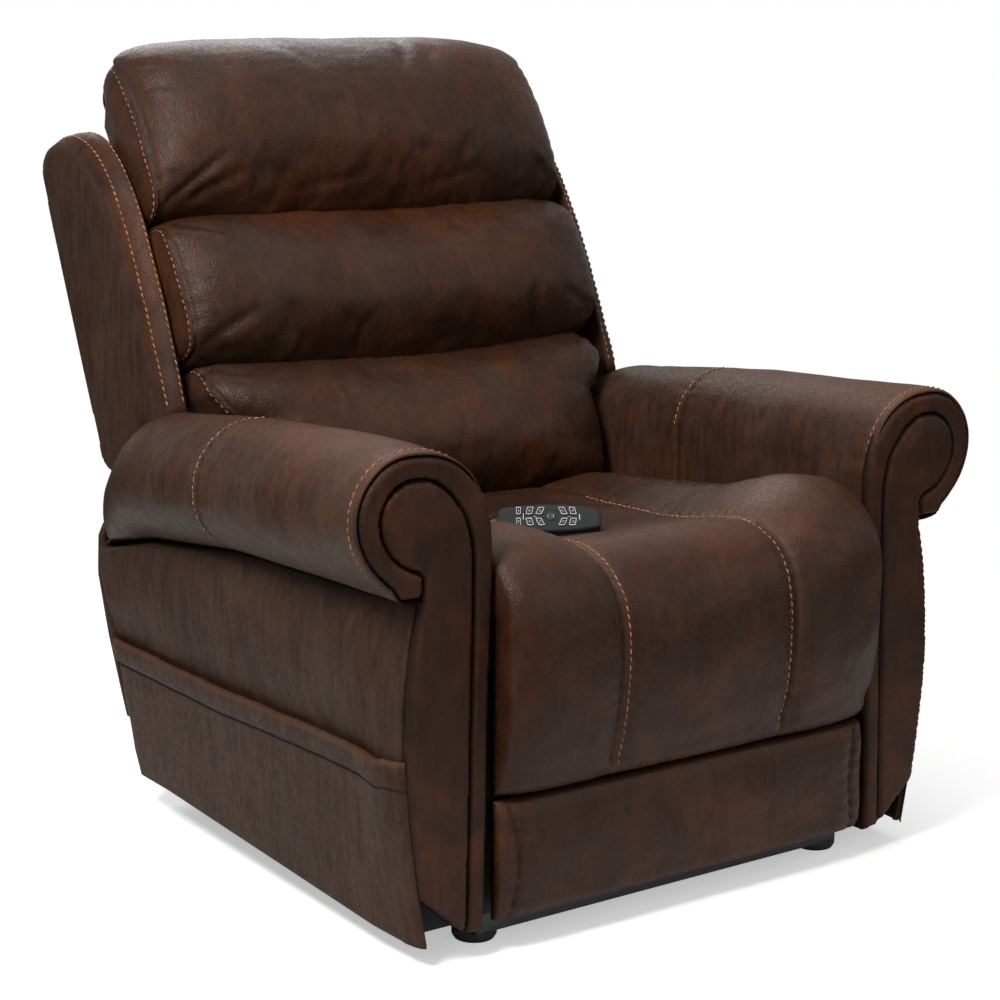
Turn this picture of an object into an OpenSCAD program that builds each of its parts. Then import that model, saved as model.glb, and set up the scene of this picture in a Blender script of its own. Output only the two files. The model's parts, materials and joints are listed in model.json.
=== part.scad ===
// Lift recliner chair: padded rolled arms, three-cushion back, powered lift base.
// Millimetres, +Z up, front of the chair toward -Y, floor at Z = 0.

/* [Width] */
// Half width of the seat cushion
seat_half = 295; // [270:1:320]
// Gap between the seat cushion and each arm
seat_gap = 7; // [6.5:0.5:12]
// Half width of the back cushions above the arms
back_half = 350; // [320:1:353]
// Outer face of each back wing, from the middle
wing_x = 400; // [385:1:415]

/* [Arms] */
// Front face of both arms
arm_front_y = -476; // [-500:1:-450]
// Thickness of the upholstered arm front
arm_front_t = 30; // [20:1:45]
// Radius of the roll at its front
roll_r = 90; // [75:1:100]
// Height of the roll's axis at its front
roll_z = 536; // [500:1:560]
// Outward bulge of the side upholstery
side_bulge = 20; // [5:1:26]
// Thickness of the inner arm padding
inner_t = 14; // [8:1:15]
// Width of the band that borders the arm front
border_w = 25; // [15:1:35]

/* [Seat] */
// Height of the seat's front crest in the middle
seat_crest_z = 472; // [440:1:490]
// Extra height of the side bolsters
bolster = 36; // [0:1:45]

/* [Back] */
// Lean of the back from upright, degrees
back_lean = 24; // [15:1:30]
// Recline pivot, along Y
back_y = 184; // [170:1:200]
// Recline pivot, height
back_z = 244; // [236:1:250]
// Plane behind the back cushions
cushion_rear = 45; // [40:1:70]
// Sag of the tufted valleys in the middle
tuft_sag = 12; // [0:1:20]

/* [Leg rest] */
// Leg rest pivot, along Y
leg_y = -492; // [-496:1:-480]
// Leg rest pivot, height
leg_z = 442; // [430:1:450]
// Lower edge of the leg rest pad
pad_low_z = 200; // [180:1:230]
// Gap between the pad and the foot panel
pad_gap = 14; // [6:1:24]

/* [Lift base] */
// Lift arm pivot, along Y
lift_y = -296; // [-310:1:-280]
// Lift arm pivot, height
lift_z = 95; // [85:1:110]
// Chair pivot on the lift arms, along Y
carry_y = 200; // [170:1:230]
// Chair pivot on the lift arms, height
carry_z = 135; // [120:1:150]
// Thickness of the lift arm plates
lift_t = 8; // [5:0.5:10]
// Height of the floor glides
glide_h = 12; // [8:1:20]
// Diameter of the pivot pins
pin_d = 12; // [8:1:14]
// Radial clearance of a pin in its hole
pin_clear = 0.08; // [0.03:0.01:0.1]

/* [Handset] */
// Length of the handset
hand_l = 132; // [120:1:165]
// Width of the handset in the middle
hand_w = 49; // [45:1:60]
// Thickness of the handset case
hand_t = 18; // [14:1:24]
// Forward tilt of the handset's face, degrees
hand_tilt = 32; // [20:1:36]
// Gap round each button
button_gap = 0.4; // [0.2:0.05:0.8]
// Diameter of the handset cord
cord_d = 5; // [4:0.5:5]

/* [Hidden] */
$fn = 32;

leather = [0.27, 0.16, 0.12];
steel = [0.2, 0.2, 0.21];
bright = [0.7, 0.71, 0.73];
timber = [0.72, 0.58, 0.4];
dark = [0.12, 0.12, 0.13];

fit = 0.3;                                   // face gap where one piece rests on another
arm_x = seat_half + seat_gap;                // inner face of each arm
board_x = arm_x + inner_t + 2;               // inner face of the arm board
board_t = 66;                                // depth of the boxed arm board
side_x = board_x + board_t + fit;            // inner face of the side upholstery
roll_x = side_x + 6;                         // axis of the roll
arm_back = arm_front_y + arm_front_t + fit;  // front of the roll, board and side
rail_in = seat_half - 40;                    // inner face of the seat rails
rail_out = seat_half - 5;                    // outer face of the seat rails
rail_z = 222;                                // underside of the seat rails
rail_h = 44;
seat_under = rail_z + rail_h + 4.5;           // the cushion lies on the springs
rail_front = -432;
rail_rear = 222;
base_x = seat_half - 12;                     // middle of the base side rails
plate_x = seat_half - 33;                    // inner face of the lift arm plates
rail_base_top = glide_h + 25;
base_rear = 238;

// Side seam under the roll, along Y
seam_end = roll_z - 170;
seam = [[arm_back - 40, roll_z - 87], [-83, roll_z - 99], [164, roll_z - 128],
  [240, roll_z - 144], [300, roll_z - 158], [360, seam_end]];
// Roll stations: place along Y, radius, drop of the axis
roll_at = [[arm_back, 0, 0], [-380, 0, 2], [-240, -1, 7], [-83, -3, 15], [60, -5, 29],
  [164, -8, 45], [240, -14, 82], [300, -26, 108], [335, -46, 125], [349, -74, 131]];

// ---- helpers ----
function mix(a, b, t) = a + (b - a) * t;
function dome(s, p) = pow(max(0, cos(90 * s)), p);
function spread(s) = sin(90 * s);
function even(n) = [for (i = [0:n - 1]) -1 + 2 * i / (n - 1)];
function rear_y(z) = 245 + (z - 51) * 0.301;
function low_z(y) = 27 + (y - arm_front_y) * 0.035;

function quad(a, b, c, d) = [[a, b, c], [a, c, d]];

// Closed body between an outer grid and an inner grid of the same size
module slab(outer, inner) {
  m = len(outer);
  n = len(outer[0]);
  k = m * n;
  faces = concat(
    [for (i = [0:m - 2], j = [0:n - 2]) each
      quad(i * n + j, i * n + j + 1, (i + 1) * n + j + 1, (i + 1) * n + j)],
    [for (i = [0:m - 2], j = [0:n - 2]) each
      quad(k + i * n + j, k + (i + 1) * n + j, k + (i + 1) * n + j + 1, k + i * n + j + 1)],
    [for (j = [0:n - 2]) each quad(j + 1, j, k + j, k + j + 1)],
    [for (j = [0:n - 2]) each
      quad((m - 1) * n + j, (m - 1) * n + j + 1, k + (m - 1) * n + j + 1, k + (m - 1) * n + j)],
    [for (i = [0:m - 2]) each quad(i * n, (i + 1) * n, k + (i + 1) * n, k + i * n)],
    [for (i = [0:m - 2]) each
      quad((i + 2) * n - 1, (i + 1) * n - 1, k + (i + 1) * n - 1, k + (i + 2) * n - 1)]);
  polyhedron([for (r = outer) each r, for (r = inner) each r], faces, convexity = 6);
}

// Closed body through a row of rings
module loft(rings) {
  m = len(rings);
  n = len(rings[0]);
  faces = concat(
    [[for (i = [n - 1:-1:0]) i]],
    [for (k = [0:m - 2], i = [0:n - 1]) each
      quad(k * n + i, k * n + (i + 1) % n, (k + 1) * n + (i + 1) % n, (k + 1) * n + i)],
    [[for (i = [0:n - 1]) (m - 1) * n + i]]);
  polyhedron([for (r = rings) each r], faces, convexity = 6);
}

module left_side() { children(); }
module right_side() { mirror([1, 0, 0]) children(); }
module both() {
  children();
  mirror([1, 0, 0]) children();
}

// Rod lying along X between two places
module bar_x(x0, x1, y, z, d) {
  translate([x0, y, z]) rotate([0, 90, 0]) cylinder(d = d, h = x1 - x0);
}

// Block given by its two corners
module block(a, b) { translate(a) cube(b - a); }

// Flat link in the YZ plane, with an eye at both ends
module link(x, t, p, q, wide, hole) {
  run = norm(q - p);
  turn = atan2(q[1] - p[1], q[0] - p[0]);
  translate([x, p[0], p[1]]) rotate([turn, 0, 0]) difference() {
    union() {
      translate([0, 0, -wide / 2]) cube([t, run, wide]);
      rotate([0, 90, 0]) cylinder(d = wide, h = t);
      translate([0, run, 0]) rotate([0, 90, 0]) cylinder(d = wide, h = t);
    }
    translate([-1, 0, 0]) rotate([0, 90, 0]) cylinder(d = hole, h = t + 2);
    translate([-1, run, 0]) rotate([0, 90, 0]) cylinder(d = hole, h = t + 2);
  }
}

// Flat plate with its inner face at x, drawn in Y and Z
module plate(x, t) { rotate([90, 0, 90]) translate([0, 0, x]) linear_extrude(t) children(); }

// Round-ended bar in that drawing
module strut(p, q, wide) {
  translate(p) rotate(atan2(q[1] - p[1], q[0] - p[0])) translate([0, -wide / 2])
    square([norm(q - p), wide]);
  translate(p) circle(d = wide);
  translate(q) circle(d = wide);
}

// ---- base on the floor ----
hole_d = pin_d + 2 * pin_clear;
lift_p = [lift_y, lift_z];
carry_p = [carry_y, carry_z];
stab_p = [-365, 84];
stab_q = [-120, 100];
stab_x = plate_x - 14;
stab_pin = 9;
crank_r = 70;
crank_a = 100;
crank_p = [lift_y + crank_r * cos(crank_a), lift_z + crank_r * sin(crank_a)];
motor_p = [160, 75];

module base_frame() color(steel) {
  both() block([base_x - 15, -440, glide_h], [base_x + 12, base_rear, rail_base_top]);
  block([-base_x + 15, -440, glide_h], [base_x - 15, -412, rail_base_top]);
  block([-base_x + 15, base_rear - 28, glide_h], [base_x - 15, base_rear, rail_base_top]);
  block([-base_x + 15, motor_p[0] - 14, glide_h], [base_x - 15, motor_p[0] + 10, rail_base_top]);
}

module floor_glides() color(dark) {
  both() for (y = [-414, base_rear - 28]) translate([base_x - 2, y, 0]) {
    cylinder(d1 = 50, d2 = 56, h = 5, $fn = 48);
    translate([0, 0, 5]) cylinder(d = 56, h = glide_h - 5, $fn = 48);
  }
}

module base_brackets() color(steel) {
  both() {
    difference() {
      block([base_x - 8, lift_y - 24, rail_base_top], [base_x, lift_y + 24, lift_z + 22]);
      bar_x(base_x - 9, base_x + 1, lift_y, lift_z, hole_d);
    }
    block([base_x - 8, stab_p[0] - 16, rail_base_top], [base_x, stab_p[0] + 16, stab_p[1] + 16]);
    bar_x(plate_x - 3, base_x + 4, lift_y, lift_z, pin_d);
    bar_x(stab_x - 2, base_x - 8, stab_p[0], stab_p[1], stab_pin);
  }
  // clevis that carries the lift motor
  for (x = [-31, 25]) difference() {
    block([x, motor_p[0] - 14, rail_base_top], [x + 6, motor_p[0] + 14, motor_p[1] + 12]);
    bar_x(x - 1, x + 7, motor_p[0], motor_p[1], 10.1);
  }
  bar_x(-36, 36, motor_p[0], motor_p[1], 10);
}

module lift_arm() color(steel) {
  link(plate_x, lift_t, lift_p, carry_p, 44, hole_d);
}
module lift_arm_left() left_side() lift_arm();
module lift_arm_right() right_side() lift_arm();

// Tube under both lift arms, hung clear of the stabilisers and the drive, with the crank lugs
cross_p = [lift_y + 30, lift_z - 45];
module lift_cross_tube() color(steel) {
  bar_x(-plate_x + 1, plate_x - 1, cross_p[0], cross_p[1], 24);
  both() block([plate_x - 6, cross_p[0] - 22, cross_p[1] - 12],
    [plate_x - 0.05, cross_p[0] + 26, lift_z + 18]);
  for (x = [-22, 14]) difference() {
    union() {
      link(x, 8, cross_p, crank_p, 30, 1);
      bar_x(x, x + 8, cross_p[0], cross_p[1], 40);
    }
    bar_x(x - 1, x + 9, crank_p[0], crank_p[1], hole_d);
  }
  bar_x(-26, 26, crank_p[0], crank_p[1], pin_d);
}

module stabiliser_links() color(steel) {
  both() difference() {
    link(stab_x, 6, stab_p, stab_q, 26, stab_pin + 2 * pin_clear);
    // opened pivot: wide enough for the hanger pin at every pose
    bar_x(stab_x - 1, stab_x + 7, stab_q[0], stab_q[1], stab_pin + 5);
  }
}

motor_turn = atan2(crank_p[1] - motor_p[1], crank_p[0] - motor_p[0]);
motor_run = norm(crank_p - motor_p);

module in_motor() translate([0, motor_p[0], motor_p[1]]) rotate([motor_turn, 0, 0]) children();

module lift_motor() color(dark) in_motor() {
  difference() {
    union() {
      translate([-17, -14, -16]) cube([34, 74, 34]);
      translate([-24, 20, -20]) cube([48, 66, 44]);
      rotate([-90, 0, 0]) translate([0, 0, 86]) cylinder(d = 38, h = 180);
      translate([0, 48, -14]) rotate([180, 0, 0]) cylinder(d = 40, h = 12);
    }
    translate([-25, 0, 0]) rotate([0, 90, 0]) cylinder(d = 10.14, h = 50);
    rotate([-90, 0, 0]) translate([0, 0, 90]) cylinder(d = 24.2, h = 190);
  }
}

module lift_rod() color(bright) in_motor() {
  rotate([-90, 0, 0]) translate([0, 0, 110]) cylinder(d = 24, h = motor_run - 110 - 18);
  translate([-10, motor_run, 0]) rotate([0, 90, 0]) difference() {
    union() {
      cylinder(d = 42, h = 20);
      translate([-14, -26, 0]) cube([28, 14, 20]);
    }
    // opened pivot: the slack that the constant ratio asks for
    translate([0, 0, -1]) cylinder(d = pin_d + 12, h = 22);
  }
}

// ---- chair frame ----
module seat_frame() color(timber) {
  both() difference() {
    block([rail_in, rail_front, rail_z], [rail_out, rail_rear, rail_z + rail_h]);
    bar_x(rail_in - 1, rail_out + 1, back_y, back_z, hole_d);
  }
  block([-rail_in, rail_front, rail_z], [rail_in, rail_front + 28, rail_z + rail_h]);
  block([-rail_in, 96, rail_z + 18], [rail_in, 118, rail_z + rail_h]);
  both() block([rail_out, -150, rail_z + 8], [board_x - fit, -110, rail_z + 32]);
  both() block([rail_out, -400, rail_z + 8], [board_x - fit, -370, rail_z + 32]);
}

module seat_springs() color(bright) {
  top = rail_z + rail_h;
  for (k = [-3:3]) {
    x = k * 68;
    for (j = [0:10]) {
      y = mix(rail_front + 22, 104, j / 10);
      block([x - 14, y, top + 0.2], [x + 14, y + 4, top + 4.2]);
      if (j < 10)
        block([x + (j % 2 == 0 ? 10 : -14), y + 4, top + 0.2],
          [x + (j % 2 == 0 ? 14 : -10), y + 52, top + 4.2]);
    }
  }
  both() block([rail_in - 2, -300, top + 0.05], [rail_in + 20, -280, top + 4]);
  block([-rail_in + 2, 98, top], [rail_in - 2, 108, top + 0.3]);
  block([-rail_in + 2, rail_front + 8, top], [rail_in - 2, rail_front + 24, top + 0.3]);
  block([-rail_in + 2, -294, top + 0.2], [rail_in - 2, -288, top + 4]);
}

// Seat profile from rear to the nose: Y, Z, inner Y, inner Z, share of bolster
seat_rows = [[46, 398, 46, 330, 0.1], [44, 424, 40, 304, 0.2], [36, 438, 30, seat_under, 0.25],
  [-10, 443, -10, seat_under, 0.35], [-90, 446, -90, seat_under, 0.5], [-190, 449, -190, seat_under, 0.6],
  [-280, 454, -280, seat_under, 0.75], [-350, 464, -350, seat_under, 0.95], [-405, 473, -405, seat_under, 1],
  [-446, 468, -426, seat_under, 0.95], [-480, 453, -428, 340, 0.8], [-507, 432, -432, 370, 0.55],
  [-521, 412, -448, 392, 0.3], [-521, 402, -470, 395, 0.15], [-516, 396, -500, 395, 0]];
// Underside of each row in the uncut cushion, and the space cut out for the leg rest: Y, Z
seat_base = concat([[46, 330], [40, 304]], [for (y = [30, -10, -90, -190, -280, -350, -405, -426,
  -440, -455, -468, -480, -492]) [y, seat_under]]);
leg_space = [[-428, seat_under - 5], [-428, 340], [-432, 370], [-448, 390], [-470, 397],
  [-540, 397], [-540, seat_under - 5]];
function bolster_at(s) = let (a = abs(spread(s)))
  a < 0.40 ? 0 : a < 0.86 ? pow((a - 0.40) / 0.46, 1.3) : 1;
function channel_at(s) = let (a = abs(abs(spread(s)) - 0.468)) a < 0.05 ? -5 * (1 - a / 0.05) : 0;

module seat_cushion() color(leather) {
  cols = [-1, -0.93, -0.86, -0.74, -0.62, -0.5, -0.4, -0.31, -0.27, -0.16, 0,
    0.16, 0.27, 0.31, 0.4, 0.5, 0.62, 0.74, 0.86, 0.93, 1];
  outer = [for (r = seat_rows) [for (s = cols)
    let (e = dome(s, 0.35), lift = bolster * r[4] * bolster_at(s) + channel_at(s) * r[4])
    [seat_half * spread(s), mix(mix(r[2], r[0], 0.8), r[0], e),
      mix(mix(r[3], r[1], 0.8), r[1] + seat_crest_z - 472, e) + lift]]];
  inner = [for (b = seat_base) [for (s = cols) [seat_half * spread(s), b[0], b[1]]]];
  difference() {
    slab(outer, inner);
    plate(-seat_half - 5, 2 * seat_half + 10) polygon(leg_space);
    // room for the leg rest hinges
    both() block([seat_half - 23, -545, seat_under - 6], [seat_half + 6, -416, leg_z + 14.5]);
  }
}

module chair_hangers() color(steel) {
  both() {
    // outer hanger on the lift arm, inner hanger on the stabiliser
    difference() {
      union() {
        block([base_x - 8, carry_y - 30, carry_z], [base_x, carry_y + 20, rail_z - 0.05]);
        bar_x(base_x - 8, base_x, carry_y, carry_z, 40);
      }
      bar_x(base_x - 9, base_x + 1, carry_y, carry_z, hole_d);
    }
    bar_x(plate_x - 3, base_x + 4, carry_y, carry_z, pin_d);
    block([stab_x - 12, stab_q[0] - 15, stab_q[1] - 14], [stab_x - 6, stab_q[0] + 15, rail_z + 20]);
    block([stab_x - 6, stab_q[0] - 15, rail_z + 2], [rail_in, stab_q[0] + 15, rail_z + 20]);
    bar_x(stab_x - 12, stab_x + 8, stab_q[0], stab_q[1], stab_pin);
    // leg rest hinge horns
    block([seat_half - 20, rail_front - 6, rail_z + 6], [seat_half - 14, rail_front, rail_z + rail_h + 18]);
    horn();
  }
  // clevis that carries the recline motor
  for (x = [-29, 23]) difference() {
    block([x, rail_front + 28, rail_z + 2], [x + 6, rail_front + 64, rail_z + 40]);
    bar_x(x - 1, x + 7, tilt_p[0], tilt_p[1], 10.1);
  }
  bar_x(-34, 34, tilt_p[0], tilt_p[1], 10);
}

horn_x = seat_half - 20;
horn_low = rail_z + rail_h + 0.05;
module horn() {
  plate(horn_x, 6) difference() {
    union() {
      translate([rail_front - 6, horn_low]) square([18, leg_z - 40 - horn_low]);
      strut([rail_front + 3, leg_z - 52], [leg_y, leg_z], 17);
      translate([leg_y, leg_z]) circle(d = 24);
    }
    translate([leg_y, leg_z]) circle(d = 8.14);
  }
}

// ---- arms ----
module arm_board() color(timber) {
  rotate([90, 0, 90]) translate([0, 0, board_x]) linear_extrude(board_t)
    polygon(concat([[arm_back, low_z(arm_back) + 8], [rear_y(60) - 4, 60],
      [rear_y(seam_end) - 4, seam_end]],
      [for (k = [4:-1:1]) [seam[k][0], seam[k][1] - fit]], [[arm_back, lookup(arm_back, seam) - fit]]));
}
module arm_board_left() left_side() arm_board();
module arm_board_right() right_side() arm_board();

module arm_inner() color(leather) {
  rotate([90, 0, 90]) translate([0, 0, arm_x]) linear_extrude(inner_t + 2 - fit)
    polygon(concat([[arm_back, low_z(arm_back) + 8], [rear_y(60) - 4, 60],
      [rear_y(seam_end) - 4, seam_end]],
      [for (k = [4:-1:1]) [seam[k][0], seam[k][1] - fit]], [[arm_back, lookup(arm_back, seam) - fit]]));
}
module arm_inner_left() left_side() difference() {
  arm_inner();
  arm_slots();
}
module arm_inner_right() right_side() difference() {
  arm_inner();
  arm_slots();
}
// windows for the outriggers of the seat frame
module arm_slots() {
  for (y = [-150, -400])
    block([arm_x - 1, y - 0.5, rail_z + 7.5], [board_x + 1, y + 41, rail_z + 32.5]);
}

module arm_roll() color(leather) {
  loft([for (r = roll_at) let (rad = roll_r + r[1], zc = roll_z - r[2])
    [for (a = [0:12:348]) [roll_x + rad * cos(a), r[0], max(zc + rad * sin(a), lookup(r[0], seam))]]]);
}
module arm_roll_left() left_side() arm_roll();
module arm_roll_right() right_side() arm_roll();

// Outline of the arm front: inner edge, scroll, neck and bulging outer edge
scroll_c = [roll_x, roll_z];
scroll = [for (a = [186:-9:-57]) scroll_c + (roll_r + 1) * [cos(a), sin(a)]];
front_out = concat([[arm_x + 13, 30], [arm_x + 5, 130], [arm_x, 250], [arm_x - 0.5, 400]], scroll,
  [[side_x + 34, 440], [side_x + 38, 400], [side_x + 40, 340], [side_x + 38, 270],
  [side_x + 33, 190], [side_x + 24, 110], [side_x + 10, 30]]);
disc = [for (a = [200:-10:-110]) scroll_c + [-1, 2] + (roll_r - border_w) * [cos(a), sin(a)]];
front_in = concat([[arm_x + 13 + border_w * 0.8, 42], [arm_x + 7 + border_w, 130],
  [arm_x + 3 + border_w, 250], [arm_x + 2 + border_w, 400]], disc,
  [[side_x + 14, 440], [side_x + 24, 360], [side_x + 25, 300], [side_x + 22, 230],
  [side_x + 14, 130], [side_x + 2, 42]]);

module arm_front() color(leather) {
  translate([0, arm_front_y + arm_front_t, 0]) rotate([90, 0, 0]) {
    linear_extrude(arm_front_t - 4) polygon(front_out);
    translate([0, 0, arm_front_t - 4]) linear_extrude(4) difference() {
      polygon(front_out);
      polygon(front_in);
    }
    translate([0, 0, arm_front_t - 4]) linear_extrude(1.5) polygon(front_in);
  }
}
module arm_front_left() left_side() arm_front();
module arm_front_right() right_side() arm_front();

// Side upholstery: crowned above the pocket, flat behind it
pocket_x = side_x + 26;
function side_out(h, z) =
  z > 262 ? side_x + 24 + side_bulge * pow(sin(180 * min(1, max(0, (z - 215) / 250))), 0.7) :
  pocket_x;
module side_panel() {
  rows = [for (k = [0:9]) k / 9];
  hs = [0, 0.02, 0.06, 0.3, 0.52, 0.56, 0.6, 0.68, 0.78, 0.88, 0.95, 1];
  function at(u, h) = let (top = lookup(mix(arm_back, 350, u), seam) - fit,
    low = low_z(mix(arm_back, 245, u)),
    z = h > 0.56 ? mix(262, top, (h - 0.56) / 0.44) : mix(low, 262, h / 0.56),
    far = rear_y(z)) [mix(arm_back, far, u), z];
  function edge(u) = min(1, 0.55 + 6 * min(u, 1 - u));
  outer = [for (u = rows) [for (h = hs) let (p = at(u, h),
    e = edge(u) * (h < 0.01 ? 0.5 : h > 0.99 ? 0.8 : 1))
    [side_x + (side_out(h, p[1]) - side_x) * e, p[0], p[1]]]];
  inner = [for (u = rows) [for (h = hs) let (p = at(u, h)) [side_x, p[0], p[1]]]];
  color(leather) slab(outer, inner);
}
module side_panel_left() left_side() side_panel();
module side_panel_right() right_side() side_panel();

// Pocket: a flat-backed leaf that leans off the side, with a thick cuff along its top
pocket_front = arm_back + 26;
pocket_low = 62;
function pocket_top(u) = mix(256, 243, u);
module pocket() {
  rows = [0, 0.03, 0.12, 0.35, 0.65, 0.88, 0.97, 1];
  hs = [0, 0.03, 0.3, 0.55, 0.76, 0.8, 0.84, 0.95, 1];
  function lean(h) = pocket_x + fit + 8 * h;
  function spot(u, h) = let (z = mix(pocket_low, pocket_top(u), h))
    [mix(pocket_front, rear_y(z) - 26, u), z];
  outer = [for (u = rows) [for (h = hs) let (p = spot(u, h),
    e = min(1, 12 * min(u, 1 - u)), b = h > 0.79 ? 8 : 4.5)
    [lean(h) + 2 + b * e * (h < 0.01 || h > 0.99 ? 0.3 : 1), p[0], p[1]]]];
  inner = [for (u = rows) [for (h = hs) let (p = spot(u, h)) [lean(h), p[0], p[1]]]];
  color(leather) slab(outer, inner);
}
module pocket_left() left_side() pocket();
module pocket_right() right_side() pocket();

// Folded corners that close both ends of each pocket
module pocket_ends() color(leather) {
  both() for (u = [0, 1]) {
    y0 = u == 0 ? pocket_front + 3 : rear_y(pocket_low) - 38;
    rise = u == 0 ? 0 : 50;
    inset = pocket_top(u) - 6;
    polyhedron([[pocket_x - 1, y0, pocket_low + 8], [pocket_x + 0.5, y0, pocket_low + 8],
      [pocket_x + 8, y0 + rise, inset], [pocket_x - 1, y0 + rise, inset],
      [pocket_x - 1, y0 + 5, pocket_low + 8], [pocket_x + 0.5, y0 + 5, pocket_low + 8],
      [pocket_x + 8, y0 + rise + 5, inset], [pocket_x - 1, y0 + rise + 5, inset]],
      [[0, 1, 2, 3], [7, 6, 5, 4], [0, 4, 5, 1], [1, 5, 6, 2], [2, 6, 7, 3], [3, 7, 4, 0]]);
  }
}

module rear_valance() color(leather) {
  block([-arm_x + 0.5, 225, 56], [arm_x - 0.5, 235, rail_z - 2]);
  both() block([rail_in + 4, rail_rear + 0.05, 180], [rail_out - 4, 225, rail_z + 12]);
}

module control_box() color(dark) {
  block([-rail_in + 1, -262, rail_z - 62], [-rail_in + 66, -152, rail_z - 8]);
  block([-rail_in - 6, -252, rail_z - 8], [-rail_in + 60, -240, rail_z - 0.05]);
  block([-rail_in - 6, -174, rail_z - 8], [-rail_in + 60, -162, rail_z - 0.05]);
  translate([-rail_in + 1, -206, rail_z - 30]) rotate([0, -90, 0]) cylinder(d = 11, h = 9);
}

module power_supply() color(dark) {
  block([90, 30, rail_z - 60], [160, 140, rail_z - 6]);
  block([100, 97, rail_z - 6], [150, 113, rail_z + 17.95]);
  translate([125, 140, rail_z - 30]) rotate([-90, 0, 0]) cylinder(d = 14, h = 8);
}

// ---- recline drive ----
tilt_p = [rail_front + 50, rail_z + 20];
tilt_r = 70;
tilt_a = 250;
tilt_q = [back_y + tilt_r * cos(tilt_a), back_z + tilt_r * sin(tilt_a)];
tilt_turn = atan2(tilt_q[1] - tilt_p[1], tilt_q[0] - tilt_p[0]);
tilt_run = norm(tilt_q - tilt_p);
module in_tilt() translate([0, tilt_p[0], tilt_p[1]]) rotate([tilt_turn, 0, 0]) children();

module recline_motor() color(dark) in_tilt() {
  difference() {
    union() {
      translate([-16, -12, -13]) cube([32, 66, 26]);
      translate([-22, 16, -18]) cube([44, 60, 34]);
      rotate([-90, 0, 0]) translate([0, 0, 76]) cylinder(d = 34, h = 200);
      translate([0, 44, -18]) rotate([180, 0, 0]) cylinder(d = 38, h = 10);
    }
    translate([-23, 0, 0]) rotate([0, 90, 0]) cylinder(d = 10.14, h = 46);
    rotate([-90, 0, 0]) translate([0, 0, 80]) cylinder(d = 20.2, h = 210);
  }
}

module recline_rod() color(bright) in_tilt() {
  rotate([-90, 0, 0]) translate([0, 0, 130]) cylinder(d = 20, h = tilt_run - 130 - 16);
  translate([-9, tilt_run, 0]) rotate([0, 90, 0]) difference() {
    union() {
      cylinder(d = 36, h = 18);
      translate([-12, -22, 0]) cube([24, 12, 18]);
    }
    translate([0, 0, -1]) cylinder(d = 10 + 12, h = 20);
  }
}

// ---- back, in its own leaning frame: X, minus forward depth, height ----
module in_back() translate([0, back_y, back_z]) rotate([-back_lean, 0, 0]) children();

module back_frame() color(steel) {
  in_back() {
    both() {
      difference() {
        union() {
          block([rail_in - 14, -14, 8], [rail_in - 6, 12, 720]);
          translate([rail_in - 14, 0, 0]) rotate([0, 90, 0]) cylinder(d = 40, h = 8);
        }
        translate([rail_in - 15, 0, 0]) rotate([0, 90, 0]) cylinder(d = hole_d, h = 10);
      }
      translate([rail_in - 18, 0, 0]) rotate([0, 90, 0]) cylinder(d = pin_d, h = 54);
      block([rail_in - 6, -10, 330], [wing_x - 40 - fit, 8, 360]);
      block([rail_in - 6, -10, 610], [wing_x - 40 - fit, 8, 640]);
    }
    for (v = [130, 330, 610, 695])
      block([-rail_in + 14, -10, v], [rail_in - 14, 8, v + 25]);
    // boards that carry the middle cushion
    block([-rail_in + 30, -cushion_rear + fit, 380], [rail_in - 30, -cushion_rear + 10, 540]);
    both() block([150, -cushion_rear + 10, 440], [180, -10, 470]);
    both() block([150, -10, 355], [180, 0, 610]);
  }
  // crank that the recline rod pulls
  bar_x(-rail_in + 14, rail_in - 14, back_y, back_z, 24);
  for (x = [-19, 13]) difference() {
    union() {
      link(x, 6, [back_y, back_z], tilt_q, 26, 1);
      bar_x(x, x + 6, back_y, back_z, 34);
    }
    bar_x(x - 1, x + 7, tilt_q[0], tilt_q[1], 10.1);
  }
  bar_x(-23, 23, tilt_q[0], tilt_q[1], 10);
}

// Rear upholstery, narrow between the arms and wide above them
module back_panel() {
  vs = [748, 742, 728, 640, 520, 400, 300, 291, 250, 180, 116, 110];
  cols = [1, 0.93, 0.8, 0.5, 0.2, -0.2, -0.5, -0.8, -0.93, -1];
  function half(v) = v > 295 ? wing_x - 42 : arm_x - 7;
  function end(v) = min(1, 0.35 + (748 - v) / 14, 0.35 + (v - 110) / 14);
  outer = [for (v = vs) [for (s = cols)
    [half(v) * spread(s), 24 + (6 + 12 * dome(s, 0.5)) * end(v), v]]];
  inner = [for (v = vs) [for (s = cols) [half(v) * spread(s), 12 + fit, v]]];
  color(leather) in_back() slab(outer, inner);
}

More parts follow.
